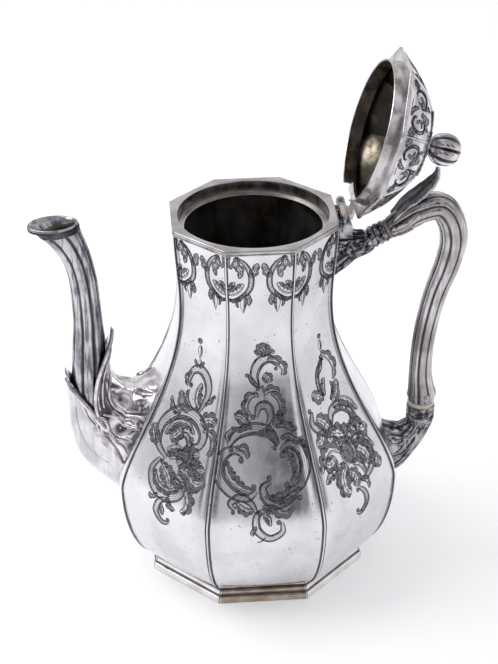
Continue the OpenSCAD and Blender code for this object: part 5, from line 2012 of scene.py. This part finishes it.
    def _joint(self, name: str, centre: Vector, axis: Vector, radius: float, washer: float,
               bone: Finish) -> None:
        """Builds a ribbed ferrule and its washer.

        Args:
            name: upper or lower.
            centre: the ferrule's middle.
            axis: direction up into the grip.
            radius: radius over the ribs.
            washer: the washer's radius as a share of the ferrule's.
            bone: the washer's finish.
        """
        half = self.ferrule_l / 2
        rib = self.ferrule_l / 3
        profile = [(self.tenon_r + 0.02, -half)]
        for i in range(3):
            low = -half + i * rib
            for t in spread(14)[1 if i else 0:]:
                profile.append((radius - self.groove * (1 - sin(pi * t) ** 0.55), low + rib * t))
        profile.append((self.tenon_r + 0.02, half))
        skin = Skin()
        skin.loft(self._turned(profile, centre, axis), loop=True)
        skin.make(f"{name}_ribbed_ferrule", Body.POT, [DARK_CAST], Slot.CAST, [f"{name}_ferrule"])
        r = radius * washer
        low, high = half, half + self.washer_t
        ring = [
            (self.tenon_r + 0.02, low), (r - 0.4, low), (r - 0.08, low + 0.2), (r, low + 0.7),
            (r, high - 0.7), (r - 0.08, high - 0.2), (r - 0.4, high), (self.tenon_r + 0.02, high),
        ]
        skin = Skin()
        skin.loft(self._turned(ring, centre, axis), loop=True)
        skin.make(f"{name}_bone_washer", Body.POT, [bone], Slot.INSULATOR, [f"{name}_washer"], sharp=50.0)

    def _root(self, z0: float, h: float, b: float) -> Ring:
        """Ring of a socket's root on the panel that faces the handle.

        Args:
            z0: height of its middle.
            h: half its height.
            b: half its width.

        Returns:
            The ring's points.
        """
        clear = Vector((0.04, 0.0, 0.0))
        return [self.body.panel(0.0, b * sin(turn), z0 + h * cos(turn)) + clear for turn in turns(self.around)]

    def _sockets(self) -> None:
        """Builds the leafy sockets on the neck and on the belly."""
        end = self.upper - self.up_way * (self.ferrule_l / 2)
        neck = self.upper - self.up_way * (self.ferrule_l / 2 + 4)
        r = self.upper_ferrule_r - self.groove
        deg = degrees(self.slope)
        z = self.body.rim_height - self.upper_root_drop
        x = self.body.radius(z) * FLAT + self.body.bow_at(z)
        h = self.upper_root_h / 2
        b = self.upper_root_w / 2
        self._socket("neck_socket", "upper_socket", DARK_CAST, (z, h, b), Vector((x + 4, 0, z + 3)), 6.2, [
            (x + 5.5, z + 2.6, 12, 0.68 * h, 0.83 * b), (x + 10, z + 4.6, 22, 0.52 * h, 0.68 * b),
            (neck.x, neck.z, deg, r + 1, r + 1), (end.x, end.z, deg, r, r),
        ])
        low = self.lower.z - self.ferrule_l / 2
        r = self.lower_ferrule_r - self.groove
        z = self.body.belly_height - self.lower_root_drop
        x = self.body.radius(z) * FLAT + self.body.bow_at(z)
        h = self.lower_root_h / 2
        b = self.lower_root_w / 2
        self._socket("belly_socket", "lower_socket", ROOT_CAST, (z, h, b), Vector((x + 3, 0, z + 1)), 6.0, [
            (x + 4.6, z + 1, 4, 0.76 * h, 0.87 * b), (x + 9, z + 6, 30, 0.5 * h, 0.73 * b),
            (self.lower.x - 2.4, low - 6, 58, r - 0.7, r), (self.lower.x, low, 90, r, r),
        ])

    def _socket(self, name: str, node: str, finish: Finish, root: Colour, middle: Vector, width: float,
                rows: Sequence[Sequence[float]]) -> None:
        """Builds one socket.

        Args:
            name: the piece's name.
            node: the node that it stands for.
            finish: its finish.
            root: height, half height and half width of its root.
            middle: middle of its root, inside it.
            width: width of its leaves.
            rows: its sections up to the joint: middle's x and z, slope in degrees, half height and half width.
        """
        sections = [self._section(x, z, (cos(radians(a)), sin(radians(a))), h, b) for x, z, a, h, b in rows]
        few = [self._root(*root), *sections]
        last = len(few) - 1
        rings = [
            [Vector(curve_at([ring[k] for ring in few], last * t)) for k in range(self.around)]
            for t in spread(self.socket_rings)
        ]
        skin = Skin()
        skin.loft([self._root(root[0], 1.0, 1.0), *rings])
        self._leafage(skin, rings, middle, Vector((rows[-1][0], 0, rows[-1][1])), width)
        skin.make(name, Body.POT, [finish], Slot.CAST, [node])

    @staticmethod
    def _leafage(skin: Skin, rings: list[Ring], root: Vector, end: Vector, width: float) -> None:
        """Covers a socket with leaves, ribs and a volute on each side.

        Args:
            skin: the socket's skin.
            rings: its rings from root to joint.
            root: middle of its root.
            end: middle of its joint.
            width: width of its leaves.
        """
        work = Relief(skin, Loft(rings), lambda u: root.lerp(end, u), 0.16)
        for side in (1, -1):
            for at, size in ((0.12, 1.0), (0.25, 1.15), (0.38, 1.0)):
                work.leaf([(0.86, side * at), (0.5, side * (at + 0.01)), (0.22, side * at), (0.02, side * at)],
                          width * size, 1.5, 5)
            work.rib([(0.95, side * 0.31), (0.5, side * 0.32), (0.03, side * 0.33)], 0.8)
            work.rib([(0.95, side * 0.19), (0.5, side * 0.19), (0.03, side * 0.18)], 0.8)
            work.rib([(0.78, side * 0.2), (0.62, side * 0.3), (0.44, side * 0.3), (0.38, side * 0.22),
                      (0.5, side * 0.18), (0.56, side * 0.23), (0.5, side * 0.25)], 1.3, taper=0.55, steps=44)
        work.leaf([(0.9, 0.0), (0.5, 0.0), (0.04, 0.0)], width, 1.3, 5)
        work.rib([(0.97, 0.5), (0.5, 0.5), (0.04, 0.5)], 1.5)


# ---- lid ----


@dataclass
class Lid:
    """Open lid: engraved dome, edge band, locating flange and a bud finial."""

    body: PotBody
    hinge: Vector
    opening: float
    inset: float = 1.2
    gap: float = 0.3
    edge_h: float = 1.9
    dome_inset: float = 1.2
    dome_h: float = 23.0
    dome_wall: float = 1.0
    dome_bow: float = 0.9
    flange_r: float = 37.3
    flange_wall: float = 1.0
    flange_low: float = 204.7
    flange_cut: float = 15.0
    flange_steps: int = 150
    horn_l: float = 4.0
    bud_r: float = 9.0
    bud_h: float = 17.6
    bud_stem: float = 0.8
    bud_lobes: int = 8
    bud_rings: int = 48
    bud_around: int = 128
    leaf_ring_r: float = 24.0
    leaf_t: float = 1.4
    stud_r: float = 2.05
    profile: tuple[Flat, ...] = ((1, 0), (0.955, 0.1), (0.885, 0.26), (0.79, 0.46), (0.66, 0.655),
                                 (0.5, 0.815), (0.33, 0.92), (0.17, 0.98), (0.06, 1))
    seam: tuple[Flat, ...] = ((0.0, 0.4), (0.28, 0.32), (0.5, 0.05), (0.7, -0.2), (0.95, -0.12), (1.2, 0.0))
    seam_fade: float = 4.0
    across: int = 6
    dome_rings: int = 52
    opening_share: float = 0.93
    engraving_scale: float = 50.0

    def __post_init__(self) -> None:
        """Works out the radii and heights."""
        self.edge_r = self.body.rim_r - self.inset
        self.low = self.body.rim_height + self.gap
        self.dome_r = self.edge_r - self.dome_inset
        self.base = self.low + self.edge_h
        self.turn = Matrix.Rotation(self.opening, 3, "Y")

    def opened(self, spot: Vector) -> Vector:
        """Turns a point of the closed lid to where the open lid has it."""
        return self.hinge + self.turn @ (spot - self.hinge)

    def _open_skin(self, skin: Skin) -> Skin:
        """Opens every point of a skin that was drawn closed."""
        skin.points = [self.opened(p) for p in skin.points]
        return skin

    def height_at(self, share: float) -> float:
        """Height of the dome above its foot.

        Args:
            share: share of its radius.

        Returns:
            The height there.
        """
        rows = self.profile
        last = len(rows) - 1
        low, high = 0.0, float(last)
        for _ in range(24):
            mid = (low + high) / 2
            if curve_at(rows, mid)[0] > share:
                low = mid
            else:
                high = mid
        return curve_at(rows, low)[1] * self.dome_h

    def dome(self, turn: float, u: float, share: float, lift: float = 0.0) -> Vector:
        """Point on a panel of the closed dome.

        Args:
            turn: direction that the panel faces, in radians.
            u: distance from the panel's middle.
            share: share of the dome's radius at the panel's middle.
            lift: distance above the sheet.

        Returns:
            The point before the lid is opened.
        """
        r = share * self.dome_r
        f = max(-1.0, min(1.0, u / max(0.01, r * HALF_SIDE)))
        out = r * FLAT + self.dome_bow * share * (1 - f * f)
        rise = (self.height_at(share - 0.02) - self.height_at(min(1.0, share + 0.02)))
        run = self.dome_r * (min(1.0, share + 0.02) - share + 0.02)
        normal = Vector((rise, 0.0, run)).normalized()
        spot = Vector((out, u, self.base + self.height_at(share))) + normal * lift
        return Matrix.Rotation(turn, 3, "Z") @ spot

    def build(self) -> None:
        """Builds every piece of the lid."""
        self._dome()
        self._edge()
        self._flange()
        self._leaf_ring()
        self._bud()

    def _ring(self, share: float, drop: float = 0.0, seam: bool = True) -> Ring:
        """Ring of the dome.

        Args:
            share: share of its radius.
            drop: distance inwards.
            seam: whether the seams stand up from it.

        Returns:
            The ring's points.
        """
        half = share * self.dome_r * HALF_SIDE
        fade = min(1.0, half / self.seam_fade)
        rise = fade if seam else 0.0
        marks = seam_marks(self.seam, fade, rise, half, self.across)
        ring = []
        for i in range(SIDES):
            turn = 2 * CORNER * (i + 1)
            ring.append(self.dome(turn, -half, share, self.seam[0][1] * rise - drop))
            ring += [self.dome(turn, distance - half, share, height - drop) for distance, height in marks]
        return ring

    def _dome(self) -> None:
        """Builds the dome and its engraving."""
        shares = [1 - self.opening_share * t for t in spread(self.dome_rings)]
        outer = [self._ring(s) for s in shares]
        inner = [self._ring(s, self.dome_wall, seam=False) for s in reversed(shares)]
        skin = Skin()
        skin.loft(outer + inner, loop=True, slot=lambda i, _: 0 if i < self.dome_rings else 1)
        self._open_skin(skin).make("dome_panels", Body.LID, [DOME, LID_INSIDE], Slot.POLISHED, ["lid_dome"],
                                   sharp=55.0)
        lines = Skin()
        for i in range(SIDES):
            turn = 2 * CORNER * i
            draw_dome_scroll(Engraver(
                lines, lambda u, v, h, t=turn: self.dome(t, u, 1 - v / self.engraving_scale, h),
                1.0 if i % 2 else -1.0, 0.3,
            ))
        self._open_skin(lines).make("dome_engraving", Body.LID, [CUT, HATCHING], Slot.WORN, sharp=80.0)

    def _edge(self) -> None:
        """Builds the upright edge and the flat ledge under it."""
        r = self.edge_r
        c = self.flange_r
        z = self.low
        h = self.edge_h
        rows = [
            (r - 0.3, c, 0.0, z + 0.02), (r - 0.05, c, 0.0, z + 0.2), (r, c, 0.0, z + 0.5),
            (r, c, 0.0, z + h - 0.6), (r - 0.2, c, 0.0, z + h - 0.15), (r - 0.6, c, 0.0, z + h),
            (self.dome_r - 0.9, c, 0.0, z + h), (self.dome_r - 1.2, c, 0.0, z + h - 0.3),
            (r, c, 1.0, z + h - 0.3), (r, c, 1.0, z + 0.1), (r, c + 0.3, 1.0, z),
            (r - 0.8, c + 1.0, 0.15, z),
        ]
        skin = Skin()
        skin.loft([blend_ring(*row) for row in rows], loop=True)
        self._open_skin(skin).make("lid_edge", Body.LID, [LEDGE], Slot.WORN, ["lid_edge_band"], sharp=50.0)

    def _flange(self) -> None:
        """Builds the round flange, with pointed ends where it is cut away at the hinge."""
        r = self.flange_r - 0.02
        wall = self.flange_wall
        top = self.low + self.edge_h - 0.4
        gone = asin(self.flange_cut / r)
        horn = self.horn_l / r
        rings = []
        for t in spread(self.flange_steps):
            inside = min(t, 1 - t) * (tau - 2 * gone) - horn
            turn = gone - horn + t * (tau - 2 * gone + 2 * horn)
            share = max(0.0, min(1.0, (inside + 2 * horn) / (2 * horn)))
            high = self.flange_low + 0.5 + (top - self.flange_low - 0.5) * share ** 0.8
            section = [
                (r - 0.25, self.flange_low), (r, self.flange_low + 0.25), (r, high), (r - wall, high),
                (r - wall, self.flange_low + 0.25), (r - wall + 0.25, self.flange_low),
            ]
            rings.append([polar(radius, turn, z) for radius, z in section])
        skin = Skin()
        skin.loft(rings, slot=lambda _, j: 0 if j <= 1 else 1)
        self._open_skin(skin).make("locating_flange", Body.LID, [LEDGE, FLANGE], Slot.WORN, ["lid_flange"],
                                   sharp=40.0)

    def _leaf_ring(self) -> None:
        """Builds the ring of leaves that the bud stands on."""
        crown = self.base + self.dome_h
        skin = Skin()
        disc = [(self.stud_r, -0.6), (6.0, -0.9), (7.6, -0.6), (8.0, 0.4), (7.2, 1.3), (5.0, 1.7), (3.4, 2.2),
                (self.stud_r, 2.2)]
        skin.loft([[polar(r, a, crown + z) for a in turns(64)] for r, z in disc], loop=True)

        def on_dome(u: float, v: float) -> Vector:
            """Point of the dome.

            Args:
                u: share of the way outwards.
                v: share of a turn.

            Returns:
                The point before the lid is opened.
            """
            radius = 3.0 + u * (self.leaf_ring_r - 3.0)
            angle = tau * v
            off = (angle + CORNER) % (2 * CORNER) - CORNER
            share = radius * cos(off) / FLAT / self.dome_r
            return polar(radius, angle, self.base + self.height_at(share) + 0.1)

        work = Relief(skin, on_dome, lambda u: Vector((0.0, 0.0, crown - 40.0)), 0.12, 0.1)
        for k in range(SIDES):
            turn = (k + 0.5) / SIDES
            work.leaf([(0.1, turn), (0.5, turn), (0.8, turn), (0.96, turn)], 7.2, 1.4, 4, curl=0.7)
            work.leaf([(0.1, turn + 0.5 / SIDES), (0.4, turn + 0.5 / SIDES), (0.62, turn + 0.5 / SIDES)],
                      5.4, 1.3, 3, curl=1.2)
        self._open_skin(skin).make("finial_leaves", Body.LID, [CAST], Slot.CAST, ["finial_rosette"])

    def _bud(self) -> None:
        """Builds the lobed bud on its short stem."""
        rows = [(0.3, 0), (0.36, 0.03), (0.62, 0.12), (0.9, 0.3), (1, 0.52), (0.92, 0.74), (0.66, 0.91),
                (0.34, 0.985), (0.08, 1)]
        start = self.base + self.dome_h + self.leaf_t + self.bud_stem
        rings = []
        for t in spread(self.bud_rings):
            p, z = curve_at(rows, (len(rows) - 1) * t)
            ring = []
            for a in turns(self.bud_around):
                wave = abs(sin(self.bud_lobes * a / 2))
                r = p * self.bud_r * (1 - p * (0.05 * wave ** 2 + 0.14 * wave ** 14))
                ring.append(polar(r, a, start + z * self.bud_h))
            rings.append(ring)
        skin = Skin()
        skin.loft(rings, grime_and_shade=lambda _, j: 0.26 * abs(sin(self.bud_lobes * pi * j / self.bud_around)) ** 9)
        neck = [(3.6, -1.6), (2.7, -0.6), (2.6, 0.2), (3.2, 0.9), (self.stud_r, 1.0), (self.stud_r, -1.6)]
        skin.loft([[polar(r, a, start + z) for a in turns(48)] for r, z in neck], loop=True)
        self._open_skin(skin).make("bud", Body.LID, [CALYX], Slot.CAST, ["finial_bud"])


def draw_dome_scroll(pen: Engraver) -> None:
    """Scroll on one panel of the dome, from its foot towards the finial.

    Args:
        pen: the engraver set to its panel.
    """
    pen.scroll([(-8.6, 3.6), (-11.2, 7.0), (-8.8, 11.4), (-4.0, 11.6), (-2.2, 8.4)], 1.7, -1.0, 0.8)
    pen.scroll([(3.4, 4.4), (8.2, 3.2), (10.6, 7.2), (7.6, 12.4), (3.6, 11.6)], 1.7, 1.0, 0.8)
    pen.twin([(0.2, 8.6), (1.6, 13.4), (-0.6, 18.6)], 2.4, 4)
    pen.leaf([(-3.6, 11.0), (-6.4, 14.6), (-5.4, 18.4)], -2.2, 4)
    pen.leaf([(3.8, 11.6), (6.2, 15.0), (4.8, 18.8)], 2.2, 4)
    pen.leaf([(-1.6, 6.4), (1.2, 3.6), (4.8, 2.0)], -1.9, 4)
    pen.twin([(-9.8, 5.2), (-13.0, 3.4), (-14.6, 1.6)], 1.8, 3)
    pen.twin([(9.6, 4.6), (12.6, 3.8), (14.8, 1.8)], 2.0, 4)
    pen.leaf([(-7.8, 6.4), (-5.4, 8.6), (-4.4, 5.4)], 1.8, 3)
    pen.leaf([(6.6, 6.0), (5.0, 8.8), (7.6, 9.6)], 1.6, 3)
    pen.line([(-4.8, 2.2), (-1.2, 1.6), (2.2, 2.8)])


# ---- hardware ----


@dataclass
class Hardware:
    """Small parts that keep their made shape and only take a finish."""

    dressing: dict[str, Finish] = field(default_factory=lambda: {
        "base_plate": WORN,
        "upper_tenon": NICKEL,
        "lower_tenon": NICKEL,
        "tenon_pins": NICKEL,
        "hinge_bracket": DARK_CAST,
        "hinge_pin": NICKEL,
        "lid_hinge_strap": WORN,
        "finial_stud": NICKEL,
        "finial_nut": NICKEL,
    })

    def build(self) -> None:
        """Dresses each part."""
        for name, finish in self.dressing.items():
            node = frame["nodes"][name]
            for slot in node.material_slots:
                slot.material = finish.material()
            log.info("%s: dressed in %s", name, finish.name)


# ---- studio ----


@dataclass
class Studio:
    """Pale table, soft light and the camera."""

    azimuth: float = radians(-4.566)
    elevation: float = radians(30.198)
    roll: float = radians(-0.266)
    distance: float = 0.910685
    target: Vector = field(default_factory=lambda: Vector((-0.002578, 0.0, 0.138289)))
    focal_px: float = 1680.14
    picture: tuple[int, int] = (498, 664)
    sensor: float = 36.0
    far_clip: float = 20.0
    table: float = 6.0
    table_cuts: int = 6
    lamp_size: Flat = (0.9, 0.7)
    lamp_power: float = 7.0
    lamp_place: Colour = (-0.75, 0.15, 1.1)
    lamp_target: Colour = (0.0, 0.0, 0.1)
    room_colour: Colour = (0.94, 0.935, 0.965)
    behind_colour: Colour = (0.58, 0.57, 0.60)
    side_colour: Colour = (0.45, 0.44, 0.47)
    flag_colour: Colour = (0.04, 0.04, 0.05)
    ceiling_colour: Colour = (0.30, 0.30, 0.33)

    def build(self) -> None:
        """Sets up the camera, the table, the lights and the sky."""
        self._camera()
        self._table()
        self._lights()
        self._sky()
        scene = bpy.context.scene
        scene.view_settings.view_transform = "Standard"

    def _away(self) -> Vector:
        """Direction from the pot to the camera."""
        flat = cos(self.elevation)
        return Vector((sin(self.azimuth) * flat, -cos(self.azimuth) * flat, sin(self.elevation)))

    def _camera(self) -> None:
        """Places the camera."""
        away = self._away()
        right = (-away).cross(Vector((0, 0, 1))).normalized()
        up = right.cross(-away)
        across = right * cos(self.roll) + up * sin(self.roll)
        upward = up * cos(self.roll) - right * sin(self.roll)
        data = bpy.data.cameras.new("studio_camera")
        data.sensor_width = self.sensor
        data.sensor_fit = "AUTO"
        data.lens = self.focal_px / max(self.picture) * self.sensor
        data.clip_end = self.far_clip
        camera = bpy.data.objects.new("studio_camera", data)
        turn = Matrix((across, upward, away)).transposed().to_4x4()
        camera.matrix_world = Matrix.Translation(self.target + away * self.distance) @ turn
        bpy.context.scene.collection.objects.link(camera)
        bpy.context.scene.camera = camera

    def _table(self) -> None:
        """Lays the table top."""
        form = bmesh.new()
        half = self.table / 2
        corners = [form.verts.new((x * half, y * half, 0.0)) for x, y in ((-1, -1), (1, -1), (1, 1), (-1, 1))]
        form.faces.new(corners)
        bmesh.ops.subdivide_edges(form, edges=form.edges, cuts=self.table_cuts, use_grid_fill=True)
        mesh = bpy.data.meshes.new("studio_table")
        form.to_mesh(mesh)
        form.free()
        mesh.materials.append(FLOOR.material())
        table = bpy.data.objects.new("studio_table", mesh)
        bpy.context.scene.collection.objects.link(table)

    def _lights(self) -> None:
        """Hangs one broad soft lamp over the left shoulder."""
        data = bpy.data.lights.new("soft_lamp", "AREA")
        data.shape = "RECTANGLE"
        data.size, data.size_y = self.lamp_size
        data.energy = self.lamp_power
        lamp = bpy.data.objects.new("soft_lamp", data)
        place = Vector(self.lamp_place)
        lamp.location = place
        lamp.rotation_euler = (Vector(self.lamp_target) - place).to_track_quat("-Z", "Y").to_euler()
        bpy.context.scene.collection.objects.link(lamp)

    def _sky(self) -> None:
        """Wires a white room with a darker side behind the camera and narrow dark flags."""
        world = bpy.data.worlds.new("studio_room")
        bpy.context.scene.world = world
        tree = Tree(world)
        way = tree.node("TexCoord", output="Generated")
        height = tree.node("SeparateXYZ", {}, {0: way}, "Z")
        level = (1.0 - height * height).most(0.0001) ** 0.5

        def strip(azimuth: float, half: float, soft: float) -> Wire:
            """Upright strip of the room.

            Args:
                azimuth: direction of its middle in degrees.
                half: half its width in degrees.
                soft: width of each soft side in degrees.

            Returns:
                Its mask.
            """
            turn = radians(azimuth)
            toward = (cos(turn), sin(turn), 0.0)
            along = tree.node("VectorMath", {"operation": "DOT_PRODUCT"}, {0: way, 1: toward}, "Value") / level
            return along.ramp(cos(radians(half + soft)), cos(radians(half)))

        lower = height.ramp(0.0, 0.03)
        behind = strip(-94.6, 14.0, 16.0) * lower * height.ramp(0.86, 0.50)
        colour = tree.mix(behind, self.room_colour, self.behind_colour)
        soft = (strip(-176.0, 9.0, 13.0) * 0.5).most(strip(14.0, 6.0, 9.0) * 0.35)
        colour = tree.mix(soft * lower * height.ramp(0.8, 0.4), colour, self.side_colour)
        dark = strip(-77.5, 6.0, 4.5).most(strip(-124.0, 7.0, 4.0)).most(strip(-40.0, 6.0, 5.0))
        dark = dark.most(strip(-150.0, 4.0, 4.0)).most(strip(150.0, 8.0, 6.0)).most(strip(35.0, 7.0, 6.0))
        dark = dark * 0.9 * height.ramp(-0.1, 0.1) * height.ramp(0.95, 0.7)
        colour = tree.mix(dark, colour, self.flag_colour)
        colour = tree.mix(height.ramp(0.86, 0.97) * 0.6, colour, self.ceiling_colour)
        seen = tree.node("LightPath", {}, {}, "Is Camera Ray")
        room = tree.node("Background", {}, {"Color": colour, "Strength": 1.0})
        white = tree.node("Background", {}, {"Color": (1.0, 1.0, 1.0), "Strength": 1.0})
        tree.node("OutputWorld", {}, {"Surface": tree.node("MixShader", {}, {0: seen, 1: room, 2: white})})


def main() -> None:
    """Builds the pot's pieces in order, then the studio."""
    logging.basicConfig(level=logging.INFO, format="%(message)s")
    joint = frame["joints"][0]
    hinge = Vector(joint["pos_m"]) / MM
    body = PotBody()
    body.build()
    Foot(body).build()
    Rim(body).build()
    Spout(body).build()
    Handle(body).build()
    Lid(body, hinge, radians(-joint["range_deg"][0])).build()
    Hardware().build()
    Studio().build()


if __name__ == "__main__":
    main()
